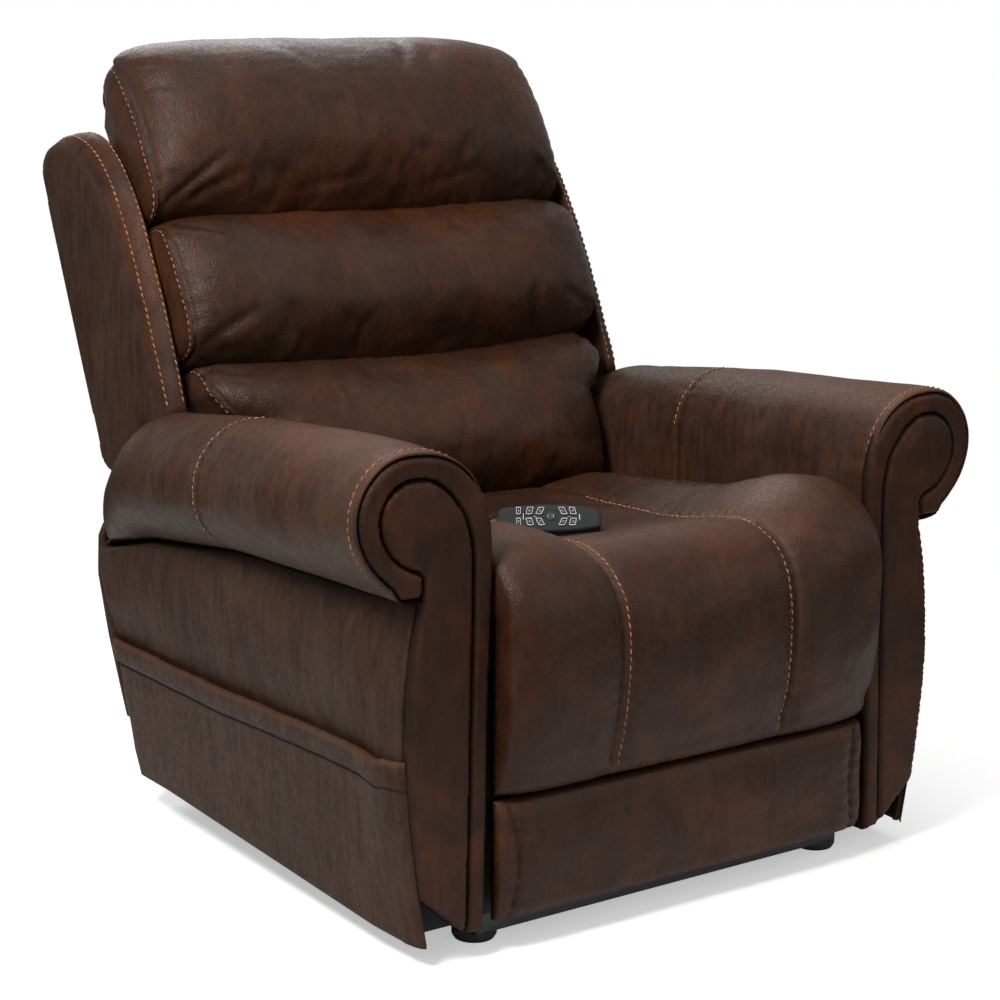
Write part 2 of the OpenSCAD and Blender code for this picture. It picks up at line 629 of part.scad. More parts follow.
// Wings: rows run from the front edge to the rear, columns from the bottom up
wing_v = [[0, 144, 170, -44], [0.02, 144, 172, -46], [0.3, 150, 172, -42], [0.6, 132, 158, -36],
  [0.85, 110, 134, -28], [0.96, 92, 114, -22], [0.99, 84, 104, -14], [1, 70, 90, -2]];
module wing() {
  w = wing_x;
  function depth(r, k) = [r[2] - 3, r[2], r[1] + 8, r[1] - 4, mix(r[3], r[1], 0.6),
    mix(r[3], r[1], 0.25), r[3] + 8, r[3], r[3] + 2][k];
  function across(k, c) = [w - 38, w - 30, w - 7, w - 1, w + 1.5, w + 1, w - 3, w - 14, w - 38][k]
    - (k > 1 && k < 8 ? c : 0);
  function level(r, k) = let (low = mix(297, 281, k / 8), high = 752 - (k < 2 ? 10 : 0))
    mix(low, high, r[0]);
  outer = [for (k = [0:8]) [for (r = wing_v)
    [across(k, r[0] < 0.01 || r[0] > 0.995 ? 10 : 0), -depth(r, k), level(r, k)]]];
  inner = [for (k = [0:8]) [for (r = wing_v)
    [w - 40, -mix(depth(r, k), mix(r[3], r[2], 0.5), 0.02), level(r, k)]]];
  color(leather) in_back() slab(outer, inner);
}
module wing_left() left_side() wing();
module wing_right() right_side() wing();

// Back cushion from rows of outer height, outer depth, inner height and inner depth
module cushion(rows, halves, sags) {
  cols = [-1, -0.96, -0.9, -0.8, -0.66, -0.48, -0.25, 0, 0.25, 0.48, 0.66, 0.8, 0.9, 0.96, 1];
  outer = [for (i = [0:len(rows) - 1]) [for (s = cols)
    let (r = rows[i], e = dome(s, 0.42), sag = sags[i] * (1 - s * s),
      v = mix(mix(r[2], r[0], 0.85), r[0], e), w = mix(mix(r[3], r[1], 0.72), r[1], e))
    [halves[i] * spread(s), -w, v - sag]]];
  inner = [for (i = [0:len(rows) - 1]) [for (s = cols)
    [halves[i] * spread(s), -rows[i][3], rows[i][2]]]];
  slab(outer, inner);
}

head_rows = [[752, -15, 752, -11], [774, -16, 753, -8], [800, -2, 754, 10], [818, 26, 755, 30],
  [827, 62, 748, cushion_rear], [830, 104, 742, cushion_rear], [824, 150, 730, cushion_rear],
  [801, 192, 712, cushion_rear], [760, 221, 690, cushion_rear], [705, 233, 665, cushion_rear],
  [650, 228, 630, cushion_rear], [605, 206, 602, cushion_rear], [582, 180, 586, cushion_rear],
  [571, 153, 577, cushion_rear]];
middle_rows = [[553, 152, 553, cushion_rear], [548, 180, 545, cushion_rear],
  [530, 207, 522, cushion_rear], [490, 230, 485, cushion_rear], [445, 235, 440, cushion_rear],
  [405, 224, 405, cushion_rear], [375, 200, 378, cushion_rear], [360, 176, 362, cushion_rear]];
lumbar_rows = [[346, 172, 346, cushion_rear], [336, 200, 330, cushion_rear],
  [312, 222, 302, cushion_rear], [296, 232, 285, cushion_rear], [240, 245, 240, cushion_rear],
  [190, 241, 195, cushion_rear], [150, 224, 160, cushion_rear], [128, 206, 140, cushion_rear],
  [118, 180, 132, cushion_rear]];

module head_cushion() color(leather) in_back()
  cushion(head_rows, [for (i = [0:13]) back_half + (i < 5 ? -6 + i * 1.4 : 1)],
    [0, 0, 0, 0, 0, 0, 0, 0, 1, 2, 5, tuft_sag * 0.7, tuft_sag, tuft_sag]);

module middle_cushion() color(leather) in_back()
  cushion(middle_rows, [for (r = middle_rows) back_half - 2],
    [tuft_sag, tuft_sag, tuft_sag, 8, 8, tuft_sag, tuft_sag, tuft_sag]);

module lumbar_cushion() color(leather) in_back()
  cushion(lumbar_rows, [for (i = [0:8]) i < 2 ? back_half - 14 : i == 2 ? back_half - 20 :
    seat_half - 4], [tuft_sag, tuft_sag, tuft_sag * 0.8, 6, 2, 0, 0, 0, 0]);

module headrest_board() color(timber) in_back() {
  block([-280, -cushion_rear + fit, 592], [280, -cushion_rear + 12, 738]);
  both() block([150, -cushion_rear + 12, 620], [180, -10 - fit, 636]);
  both() block([150, -cushion_rear + 12, 700], [180, -10 - fit, 716]);
}

module lumbar_board() color(timber) in_back() {
  block([-230, -cushion_rear + fit, 150], [230, -cushion_rear + 12, 320]);
  both() block([150, -cushion_rear + 12, 134], [180, -10 - fit, 150]);
  both() block([150, -cushion_rear + 12, 332], [180, -10 - fit, 345]);
  both() block([150, -cushion_rear + fit, 320], [180, -cushion_rear + 12, 345]);
  both() block([150, -cushion_rear + fit, 134], [180, -cushion_rear + 12, 150]);
}

// ---- leg rest ----
pad_back = -468;
module legrest_frame() color(timber) {
  block([-seat_half + 30, pad_back + fit, 60], [seat_half - 30, pad_back + 12, leg_z - 66]);
  both() {
    block([seat_half - 32, pad_back + fit, 262], [seat_half - 9, pad_back + 6, 372]);
    plate(seat_half - 12, 4) difference() {
      union() {
        translate([pad_back + fit, 260]) square([14 - fit, leg_z - 60 - 260]);
        strut([pad_back + 5, leg_z - 66], [leg_y, leg_z], 18);
        translate([leg_y, leg_z]) circle(d = 24);
      }
      translate([leg_y, leg_z]) circle(d = 7.9);
    }
    bar_x(seat_half - 22, seat_half - 7, leg_y, leg_z, 8);
  }
}

// Pad front profile: Y, Z
pad_rows = [[-506, leg_z - 58.5], [-519, leg_z - 60], [-523, leg_z - 72], [-522, 330], [-516, 280],
  [-507, 240], [-498, pad_low_z + 16], [-490, pad_low_z + 5], [-482, pad_low_z]];
module legrest_pad() color(leather) {
  cols = [-1, -0.93, -0.82, -0.66, -0.5, -0.31, 0, 0.31, 0.5, 0.66, 0.82, 0.93, 1];
  half = seat_half;
  outer = [for (r = pad_rows) [for (s = cols)
    [half * spread(s), mix(mix(pad_back, r[0], 0.7), r[0], dome(s, 0.35)), r[1]]]];
  inner = [for (r = pad_rows) [for (s = cols) [half * spread(s), pad_back, r[1]]]];
  difference() {
    slab(outer, inner);
    both() block([seat_half - 24, leg_y - 14, leg_z - 80], [seat_half + 5, pad_back + 5, leg_z]);
  }
}

foot_top = pad_low_z - pad_gap;
foot_rows = [[-480, foot_top], [-488, foot_top - 3], [-491, foot_top - 14], [-494, 130], [-494, 90],
  [-492, 58], [-489, 46], [-482, 42]];
module foot_panel() color(leather) {
  cols = [-1, -0.94, -0.84, -0.6, -0.3, 0, 0.3, 0.6, 0.84, 0.94, 1];
  outer = [for (r = foot_rows) [for (s = cols)
    [seat_half * spread(s), mix(mix(pad_back, r[0], 0.7), r[0], dome(s, 0.25)), r[1]]]];
  inner = [for (r = foot_rows) [for (s = cols) [seat_half * spread(s), pad_back, r[1]]]];
  slab(outer, inner);
}

// ---- handset ----
hand_p = [206.4 - seat_half, -303, 481.1];
hand_turn = -35;                              // the handset faces the sitter's right
module in_hand() translate(hand_p) rotate([0, 0, hand_turn]) rotate([hand_tilt, 0, 0]) children();
function hand_half(x) = hand_w / 2 - 9 * pow(abs(x) / (hand_l / 2), 2);
hand_line = let (l = hand_l / 2, xs = [-l, -l + 1.5, -l + 5, -l * 0.78, -l * 0.62, -l * 0.48, -l * 0.32,
  -l * 0.16, 0, l * 0.16, l * 0.32, l * 0.48, l * 0.62, l * 0.78, l - 5, l - 1.5, l], cut = [6, 2.6, 0.6, 0, 0, 0, 0, 0, 0, 0, 0, 0, 0, 0, 0.6, 2.6, 6])
  concat([for (i = [0:16]) [xs[i], -hand_half(xs[i]) + cut[i]]],
  [for (i = [16:-1:0]) [xs[i], hand_half(xs[i]) - cut[i]]]);
// Keys: X, Y, width, height, skew
keys = [[-38.8, 10, 6.2, 13.6, 0], [-38.8, -10, 6.2, 13.6, 0], [-24.6, 10, 8.2, 13.6, 1.1],
  [-24.6, -10, 8.2, 13.6, -1.1], [-11.3, 10, 8, 13.6, 2.2], [-11.3, -10, 8, 13.6, -2.2],
  [17.8, 10, 8, 13.6, -2.2], [17.8, -10, 8, 13.6, 2.2], [30.2, 10, 8.2, 13.6, -1.1],
  [30.2, -10, 8.2, 13.6, 1.1]];
knob_x = 2.2;
knob_d = 13;
face_t = 1.6;
well = 3.2;
key_rise = 1.2;

module key_shape(k, grow) {
  w = k[2] / 2 + grow;
  h = k[3] / 2 + grow;
  s = k[4];
  translate([k[0], k[1]])
    polygon([[-w - s, -h], [w - s, -h], [w + s, h], [-w + s, h]]);
}

module key_holes(grow) {
  for (k = keys) key_shape(k, grow);
  translate([knob_x, 0]) circle(d = knob_d + 2 * grow);
}

module handset_case() color(dark) in_hand() {
  top = hand_t / 2;
  difference() {
    translate([0, 0, -top]) linear_extrude(hand_t - face_t) polygon(hand_line);
    translate([0, 0, top - face_t - well]) linear_extrude(well + 1) key_holes(button_gap);
  }
  // clip on the back, which props the handset on the seat
  block([-20, 4, -top - 20], [20, 12, -top]);
  translate([-hand_l / 2 + 1, 0, 0]) rotate([0, -90, 0]) cylinder(d = cord_d + 4, h = 9);
}

module handset_face() color(dark) in_hand() {
  translate([0, 0, hand_t / 2 - face_t]) linear_extrude(face_t) difference() {
    polygon(hand_line);
    key_holes(button_gap);
  }
}

module key(i) color(bright) in_hand() {
  translate([0, 0, hand_t / 2 - face_t - well + 1.1])
    linear_extrude(well + face_t - 1.1 + key_rise) key_shape(keys[i], 0);
}
module knob() color(dark) in_hand() {
  translate([knob_x, 0, hand_t / 2 - face_t - well + 1.1]) {
    cylinder(d = knob_d, h = well + face_t - 1.1 + key_rise);
  }
}

// Cord centre line, from the handset's end down between the seat and the arm
cord_x = -seat_half - seat_gap / 2;
cord_tip = hand_p - (hand_l / 2 + 8) * [cos(hand_turn), sin(hand_turn), 0];
cord_path = [cord_tip, cord_tip - 6 * [cos(hand_turn), sin(hand_turn), 0],
  [cord_x + 134.5, -250.5, 478.5], [cord_x + 120.5, -243.5, 474], [cord_x + 103.5, -238.5, 472.5],
  [cord_x + 86.5, -236, 474], [cord_x + 68.5, -234, 478], [cord_x + 51.5, -233, 481.5],
  [cord_x + 36.5, -232.5, 483], [cord_x + 24.5, -232, 481], [cord_x + 14.5, -232, 475.5],
  [cord_x + 7, -232, 467], [cord_x + 2, -232, 455.5], [cord_x, -232, 441], [cord_x, -232, 415],
  [cord_x, -232, 385], [cord_x, -232, 355], [cord_x, -232, 325], [cord_x, -232, 295],
  [cord_x, -231, 265], [cord_x + 0.4, -229, 241], [cord_x + 2, -226, 222], [cord_x + 6, -222, 208],
  [cord_x + 12, -217, 199], [-rail_in - 24, -212.5, 194], [-rail_in - 16, -208.5, 192],
  [-rail_in - 8.05, -206, 192]];
function unit(v) = v / norm(v);
module handset_cord() color(dark) {
  last = len(cord_path) - 1;
  loft([for (i = [0:last]) let (a = cord_path[max(0, i - 1)], b = cord_path[min(last, i + 1)],
    t = i == last ? [1, 0, 0] : i == 0 ? -[cos(hand_turn), sin(hand_turn), 0] : unit(b - a),
    u = unit(cross(t, [0, 1, 0])),
    v = cross(t, u))
    [for (q = [0:7]) cord_path[i] + cord_d / 2 * (cos(q * 45) * u + sin(q * 45) * v)]]);
}

base_frame();
floor_glides();
base_brackets();
lift_arm_left();
lift_arm_right();
lift_cross_tube();
stabiliser_links();
lift_motor();
lift_rod();
seat_frame();
seat_springs();
seat_cushion();
chair_hangers();
arm_board_left();
arm_board_right();
arm_inner_left();
arm_inner_right();
arm_roll_left();
arm_roll_right();
arm_front_left();
arm_front_right();
side_panel_left();
side_panel_right();
pocket_left();
pocket_right();
pocket_ends();
rear_valance();
control_box();
power_supply();
recline_motor();
recline_rod();
back_frame();
back_panel();
wing_left();
wing_right();
middle_cushion();
headrest_board();
head_cushion();
lumbar_board();
lumbar_cushion();
legrest_frame();
legrest_pad();
foot_panel();
handset_case();
handset_face();
key(0);  // key_1
key(1);  // key_2
key(2);  // key_3
key(3);  // key_4
key(4);  // key_5
key(5);  // key_6
key(6);  // key_7
key(7);  // key_8
key(8);  // key_9
key(9);  // key_10
knob();  // key_11
handset_cord();
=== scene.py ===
import json
import math
import bmesh
import bpy
import numpy as np
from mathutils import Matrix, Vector, geometry, noise
from mathutils.bvhtree import BVHTree


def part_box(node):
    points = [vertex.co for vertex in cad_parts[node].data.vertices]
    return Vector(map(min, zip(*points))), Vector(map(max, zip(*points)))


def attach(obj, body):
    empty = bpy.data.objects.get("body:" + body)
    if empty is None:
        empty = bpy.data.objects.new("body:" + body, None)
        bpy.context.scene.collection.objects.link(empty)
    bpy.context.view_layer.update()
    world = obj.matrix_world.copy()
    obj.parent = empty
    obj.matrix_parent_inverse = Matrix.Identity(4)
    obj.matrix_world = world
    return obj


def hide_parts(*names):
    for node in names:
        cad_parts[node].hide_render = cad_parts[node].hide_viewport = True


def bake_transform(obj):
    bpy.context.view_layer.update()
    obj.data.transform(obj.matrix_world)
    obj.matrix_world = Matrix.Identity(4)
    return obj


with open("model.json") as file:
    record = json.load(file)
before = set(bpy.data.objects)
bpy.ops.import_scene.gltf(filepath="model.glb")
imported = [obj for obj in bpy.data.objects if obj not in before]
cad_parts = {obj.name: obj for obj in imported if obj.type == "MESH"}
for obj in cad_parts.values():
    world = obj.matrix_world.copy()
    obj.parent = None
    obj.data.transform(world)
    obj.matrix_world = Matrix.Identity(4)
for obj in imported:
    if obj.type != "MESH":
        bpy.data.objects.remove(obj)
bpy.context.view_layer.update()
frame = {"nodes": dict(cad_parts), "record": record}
print("stage: frame loaded")


# small tools for shapes
def curveAt(keys, values, at):  # smooth curve through values placed at keys
    keys, values = np.asarray(keys, float), np.asarray(values, float)
    at = np.clip(np.asarray(at, float), keys[0], keys[-1])
    slopes = np.gradient(values, keys, axis=0)
    i = np.clip(np.searchsorted(keys, at, side="right") - 1, 0, len(keys) - 2)
    gap = keys[i + 1] - keys[i]
    t = (at - keys[i]) / gap
    widen = (slice(None),) + (None,) * (values.ndim - 1)
    if at.ndim == 0:
        widen = ()
    t, gap = t[widen], gap[widen]
    return ((2 * t**3 - 3 * t**2 + 1) * values[i] + (t**3 - 2 * t**2 + t) * gap * slopes[i]
            + (3 * t**2 - 2 * t**3) * values[i + 1] + (t**3 - t**2) * gap * slopes[i + 1])


def lengthsOf(points):
    steps = np.linalg.norm(np.diff(points, axis=0), axis=1)
    return np.concatenate([[0], np.cumsum(steps)])


def evenly(points, spacing, ends=True):  # the same line, with points an even distance apart
    points = np.asarray(points, float)
    run = lengthsOf(points)
    count = max(2, int(round(run[-1] / spacing)) + 1)
    at = np.linspace(0, run[-1], count)
    if not ends:
        at = at[:-1]
    return np.stack([np.interp(at, run, points[:, k]) for k in range(points.shape[1])], axis=1)


def smoothLine(points, spacing, closed=False):
    points = np.asarray(points, float)
    if closed:
        points = np.vstack([points[-2:], points, points[:3]])
    run = lengthsOf(points)
    fine = curveAt(run, points, np.linspace(run[0], run[-1], len(points) * 16))
    if closed:
        low, high = run[2], run[-3]
        fine = curveAt(run, points, np.linspace(low, high, len(points) * 16))
    return evenly(fine, spacing, ends=not closed)


def gridFaces(rows, columns, closed=False, start=0, flip=False):
    faces = []
    for i in range(rows - 1):
        for j in range(columns if closed else columns - 1):
            k = (j + 1) % columns
            face = (start + i * columns + j, start + i * columns + k,
                    start + (i + 1) * columns + k, start + (i + 1) * columns + j)
            faces.append(face[::-1] if flip else face)
    return faces


def addMesh(name, points, faces, finish, body, slot="upholstery", smooth=True):
    mesh = bpy.data.meshes.new(name)
    mesh.from_pydata([tuple(float(c) for c in p) for p in points], [], faces)
    mesh.validate()
    mesh.update()
    piece = bpy.data.objects.new(name, mesh)
    bpy.context.scene.collection.objects.link(piece)
    mesh.polygons.foreach_set("use_smooth", [smooth] * len(mesh.polygons))
    if finish is not None:
        mesh.materials.append(finish)
    if body:
        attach(piece, body)
    return piece


def facingOut(points, faces):  # turns all faces round when the shape is inside out
    points = np.asarray(points, float)
    total = 0.0
    for f in faces:
        for k in range(1, len(f) - 1):
            total += np.dot(points[f[0]], np.cross(points[f[k]], points[f[k + 1]]))
    return faces if total > 0 else [f[::-1] for f in faces]


def loftShape(rings):  # closed rings joined in a row, with a cap on each end
    rings = np.asarray(rings, float)
    m, n = rings.shape[:2]
    points = list(rings.reshape(-1, 3))
    faces = gridFaces(m, n, closed=True)
    for end, base in ((0, 0), (1, (m - 1) * n)):
        centre = len(points)
        points.append(rings[-end].mean(axis=0))
        for j in range(n):
            pair = (base + j, base + (j + 1) % n)
            faces.append((pair[1], pair[0], centre) if end == 0 else (pair[0], pair[1], centre))
    return points, facingOut(points, faces)


def slabShape(outer, inner):  # closed shape between two grids of the same size
    outer, inner = np.asarray(outer, float), np.asarray(inner, float)
    m, n = outer.shape[:2]
    k = m * n
    points = np.concatenate([outer.reshape(-1, 3), inner.reshape(-1, 3)])
    faces = gridFaces(m, n) + gridFaces(m, n, start=k, flip=True)
    for j in range(n - 1):
        last = (m - 1) * n + j
        faces += [(j + 1, j, k + j, k + j + 1), (last, last + 1, k + last + 1, k + last)]
    for i in range(m - 1):
        a, b = i * n, (i + 1) * n
        faces += [(a, b, k + b, k + a), (b + n - 1, a + n - 1, k + a + n - 1, k + b + n - 1)]
    return points, facingOut(points, faces)


def distanceTo(points, line, closed=True):  # how far each flat point is from a line
    a = np.asarray(line, float)
    b = np.roll(a, -1, axis=0) if closed else a[1:]
    a = a if closed else a[:-1]
    ab = b - a
    best = np.full(len(points), 1e9)
    for k in range(0, len(points), 2000):
        p = points[k:k + 2000, None, :]
        t = np.clip(((p - a) * ab).sum(2) / np.maximum((ab**2).sum(1), 1e-15), 0, 1)
        best[k:k + 2000] = np.linalg.norm(p - a - t[..., None] * ab, axis=2).min(axis=1)
    return best


def flatPanel(outline, spacing):  # even triangles inside an outline, and their distance to its edge
    edge = evenly(np.vstack([outline, outline[:1]]), spacing, ends=False)
    low, high = edge.min(axis=0), edge.max(axis=0)
    rows = int((high[1] - low[1]) / (spacing * 0.87)) + 2
    columns = int((high[0] - low[0]) / spacing) + 2
    grid = np.array([(low[0] + (j + 0.5 * (i % 2)) * spacing, low[1] + i * spacing * 0.87)
                     for i in range(rows) for j in range(columns)])
    grid = grid[distanceTo(grid, edge) > spacing * 0.62]
    points = [Vector(p) for p in np.vstack([edge, grid])]
    edges = [(k, (k + 1) % len(edge)) for k in range(len(edge))]
    found = geometry.delaunay_2d_cdt(points, edges, [], 1, 1e-7)
    flat = np.array([tuple(p) for p in found[0]])
    return flat, [tuple(f) for f in found[2]], distanceTo(flat, edge)


def paddedPanel(outline, spacing, place, depth):
    # place(flat, away) gives the front points, and the back lies depth behind them
    flat, faces, away = flatPanel(outline, spacing)
    front = place(flat, away)
    back = front + np.asarray(depth, float)
    n = len(front)
    count = {}
    for f in faces:
        for a, b in zip(f, f[1:] + f[:1]):
            count[(a, b)] = 1
    rim = [(a, b) for a, b in count if (b, a) not in count]
    faces = faces + [tuple(n + k for k in f[::-1]) for f in faces] + [(b, a, n + a, n + b) for a, b in rim]
    points = np.concatenate([front, back])
    return points, facingOut(points, faces), away


hosts = {}  # surfaces that stitches are laid on


def addHost(name, points, faces):
    hosts[name] = BVHTree.FromPolygons([Vector(p) for p in points], [tuple(f) for f in faces])


def paintPoints(piece, label, values):  # a number at each point, read by the hide finish
    layer = piece.data.attributes.new(label, "FLOAT", "POINT")
    layer.data.foreach_set("value", np.asarray(values, dtype=np.float32))


def paintSkin(piece, label, values):  # numbers for the outer grid of a slab, and none for its inner grid
    values = np.asarray(values, float)
    paintPoints(piece, label, np.concatenate([values.reshape(-1), np.zeros(values.size)]))


def normalsOf(grid):  # unit normals of a grid of points
    across = np.gradient(grid, axis=1)
    along = np.gradient(grid, axis=0)
    n = np.cross(across, along)
    return n / np.maximum(np.linalg.norm(n, axis=2, keepdims=True), 1e-12)


def grids(*columns):  # points from x, y and z, each a number, a row, a column or a grid
    return np.stack(np.broadcast_arrays(*columns), axis=-1)


def soft(points, size, seed=0.0):  # smooth noise from -1 to 1 at each point
    flat = np.asarray(points, float).reshape(-1, 3)
    values = [noise.noise(Vector((p[0] / size[0] + seed, p[1] / size[1], p[2] / size[2]))) for p in flat]
    return np.array(values).reshape(np.asarray(points).shape[:-1])


def dip(at, centre, width):  # 1 on a line, falling to 0 beside it
    return np.exp(-((np.asarray(at) - centre) / width) ** 2)


def ease(at, low, high):
    t = np.clip((np.asarray(at, float) - low) / (high - low), 0, 1)
    return t * t * (3 - 2 * t)


def turnedOver(points, side):  # the same shape on the other side of the chair
    points = np.array(points, float)
    if side < 0:
        points[..., 0] *= -1
    return points


def mirrored(shape, side):  # points and faces of a left shape, or of the same on the right
    return turnedOver(shape[0], side), shape[1] if side > 0 else [f[::-1] for f in shape[1]]


def stitchRow(name, host, line, body, length=0.0078, pitch=0.0104, radius=0.00095, blend=None):
    # a row of saddle stitches laid along a line on a surface
    run = lengthsOf(line)
    count = int((run[-1] - length) / pitch)
    tree, points, faces = hosts[host], [], []
    ringSize, steps = 6, 5

    def onSurface(at):
        p = Vector([float(np.interp(at, run, line[:, k])) for k in range(3)])
        spot, normal, face, gap = tree.find_nearest(p)
        return np.array(spot), np.array(normal)

    for k in range(count):
        at = (run[-1] - (count - 1) * pitch - length) / 2 + k * pitch  # the row is centred on its line
        a, na = onSurface(at)
        b, nb = onSurface(at + length)
        mid, up = onSurface(at + length / 2)
        along = b - a
        if np.linalg.norm(along) < length * 0.6:
            continue
        along = along / np.linalg.norm(along)
        wide = np.cross(up, along)
        wide = wide / max(np.linalg.norm(wide), 1e-9)
        slant = wide * radius * 0.55
        base = len(points)
        for i in range(steps):
            t = i / (steps - 1)
            centre = a * (1 - t) * (1 - t) + 2 * (2 * mid - (a + b) / 2) * t * (1 - t) + b * t * t
            arch = math.sin(math.pi * t)
            centre = centre + up * (radius * (-0.45 + 1.15 * arch ** 0.6)) + slant * (2 * t - 1)
            r = radius * (0.45 + 0.55 * arch ** 0.5)
            for q in range(ringSize):
                turn = 2 * math.pi * q / ringSize
                points.append(centre + r * (math.cos(turn) * wide + math.sin(turn) * up))
        faces += gridFaces(steps, ringSize, closed=True, start=base, flip=True)
        faces.append(tuple(base + q for q in range(ringSize)))
        faces.append(tuple(base + (steps - 1) * ringSize + q for q in reversed(range(ringSize))))
    piece = addMesh(name, points, faces, thread, None if blend else body)
    if blend:
        blend(piece)
    return piece


# finishes
def put(tree, kind, inputs=None, **settings):
    node = tree.nodes.new("ShaderNode" + kind)
    for key, value in settings.items():
        setattr(node, key, value)
    for key, value in (inputs or {}).items():
        if isinstance(value, bpy.types.NodeSocket):
            tree.links.new(value, node.inputs[key])
        else:
            node.inputs[key].default_value = value
    return node


def blendColors(tree, amount, first, second):
    return put(tree, "Mix", {0: amount, 6: first, 7: second}, data_type="RGBA").outputs[2]


def compute(tree, how, first, second, clamp=False):
    return put(tree, "Math", {0: first, 1: second}, operation=how, use_clamp=clamp).outputs[0]


def times(tree, first, second):
    return compute(tree, "MULTIPLY", first, second)


def plus(tree, first, second, clamp=False):
    return compute(tree, "ADD", first, second, clamp)


def swing(tree, value, reach):  # noise round zero, from -reach / 2 to reach / 2
    return times(tree, compute(tree, "SUBTRACT", value, 0.5), reach)


def mask(tree, value, low, high):
    return put(tree, "MapRange", {"Value": value, "From Min": low, "From Max": high},
               interpolation_type="SMOOTHSTEP").outputs[0]


def spots(tree, place, scale, detail=3.0, rough=0.55, warp=0.0):
    return put(tree, "TexNoise", {"Vector": place, "Scale": scale, "Detail": detail,
                                  "Roughness": rough, "Distortion": warp}).outputs["Fac"]


def stretched(tree, place, x, y, z):
    return put(tree, "Mapping", {"Vector": place, "Scale": (x, y, z)}).outputs[0]


def newGroup(name, inputs, outputs):
    group = bpy.data.node_groups.new(name, "ShaderNodeTree")
    for side, sockets in (("INPUT", inputs), ("OUTPUT", outputs)):
        for label, kind, start in sockets:
            socket = group.interface.new_socket(name=label, in_out=side, socket_type="NodeSocket" + kind)
            if start is not None and side == "INPUT":
                socket.default_value = start
    return group, group.nodes.new("NodeGroupInput"), group.nodes.new("NodeGroupOutput")


def finishGroup(group, out, color, rough, height):
    for label, source in (("Color", color), ("Roughness", rough), ("Height", height)):
        group.links.new(source, out.inputs[label])
    return group


def makeHideGroup():  # blotched and brushed hide, with a pebbled grain, a lighter tone for rub wear and painted highlight, and a painted shade tone
    group, given, out = newGroup(
        "brushedHide",
        [("Base", "Color", (0.05, 0.03, 0.02, 1)), ("Rust", "Color", (0.1, 0.04, 0.02, 1)),
         ("Ash", "Color", (0.07, 0.06, 0.05, 1)), ("Rust amount", "Float", 0.6),
         ("Ash amount", "Float", 0.5), ("Nap", "Float", 0.3), ("Polish", "Float", 0.4),
         ("Crest", "Float", 0.0), ("Fold", "Float", 0.0)],
        [("Color", "Color", None), ("Roughness", "Float", None), ("Height", "Float", None)])
    g, facts = group, given.outputs
    place = put(g, "TexCoord").outputs["Object"]
    cloudy = spots(g, place, 6.0, 5.0, 0.6, 0.7)
    patchy = spots(g, stretched(g, place, 1, 1, 0.55), 9.5, 5.0, 0.62, 0.4)
    mottled = spots(g, stretched(g, place, 1, 1, 0.6), 32.0, 6.0, 0.68, 0.8)
    brush = spots(g, stretched(g, place, 1, 1, 0.16), 95.0, 5.0, 0.62)
    flecks = spots(g, place, 150.0, 3.0, 0.6)
    color = facts["Base"]
    layers = [  # where, how much, tone
        (mask(g, cloudy, 0.44, 0.66), facts["Rust amount"], facts["Rust"]),
        (mask(g, patchy, 0.46, 0.66), facts["Ash amount"], facts["Ash"]),
        (mask(g, mottled, 0.52, 0.72), 0.5, facts["Rust"]),
        (mask(g, mottled, 0.48, 0.30), 0.5, (0.014, 0.007, 0.005, 1)),
        (mask(g, brush, 0.3, 0.72), facts["Nap"], facts["Ash"]),
        (mask(g, brush, 0.56, 0.36), 0.30, (0.012, 0.007, 0.005, 1)),
        (mask(g, flecks, 0.6, 0.74), 0.35, (0.01, 0.006, 0.005, 1)),
        # lighter tone: rub wear on welts and edges, and painted highlight on tops and crowns
        (facts["Crest"], 0.55, (0.16, 0.075, 0.045, 1)),
        # painted shade: a very dark tone laid over seams, creases, grooves and the gaps between parts
        (facts["Fold"], 0.75, (0.008, 0.005, 0.004, 1))]
    for where, amount, tone in layers:
        color = blendColors(g, times(g, where, amount), color, tone)
    pebble = put(g, "TexVoronoi", {"Vector": place, "Scale": 560.0}, feature="SMOOTH_F1").outputs["Distance"]
    fine = spots(g, place, 900.0, 2.0)
    crease = spots(g, stretched(g, place, 1, 1, 0.45), 70.0, 4.0, 0.65, 0.6)
    height = plus(g, plus(g, times(g, pebble, 0.75), times(g, fine, 0.5)), times(g, crease, 1.2))
    rough = compute(g, "SUBTRACT", 0.86, times(g, facts["Polish"], 0.62))
    rough = plus(g, plus(g, rough, swing(g, flecks, 0.5)), swing(g, patchy, 0.3), clamp=True)
    return finishGroup(g, out, color, rough, height)


def makeRubGroup():  # rubbed edges and dust for hard parts
    group, given, out = newGroup(
        "rubbedSurface",
        [("Base", "Color", (0.1, 0.1, 0.1, 1)), ("Rubbed", "Color", (0.3, 0.3, 0.3, 1)),
         ("Scale", "Float", 40.0), ("Rough", "Float", 0.5), ("Dust", "Float", 0.2)],
        [("Color", "Color", None), ("Roughness", "Float", None), ("Height", "Float", None)])
    g, facts = group, given.outputs
    place = put(g, "TexCoord").outputs["Object"]
    broad = spots(g, place, facts["Scale"], 4.0, 0.6)
    small = spots(g, place, 420.0, 4.0, 0.6)
    up = put(g, "SeparateXYZ", {0: put(g, "NewGeometry").outputs["Normal"]}).outputs["Z"]
    dusty = times(g, times(g, mask(g, up, 0.2, 1.0), mask(g, broad, 0.35, 0.7)), facts["Dust"])
    color = blendColors(g, mask(g, small, 0.62, 0.8), facts["Base"], facts["Rubbed"])
    color = blendColors(g, dusty, color, (0.3, 0.28, 0.25, 1))
    rough = plus(g, plus(g, facts["Rough"], swing(g, broad, 0.35)), times(g, dusty, 0.5), clamp=True)
    return finishGroup(g, out, color, rough, plus(g, small, times(g, broad, 0.6)))


hideGroup = makeHideGroup()
rubGroup = makeRubGroup()


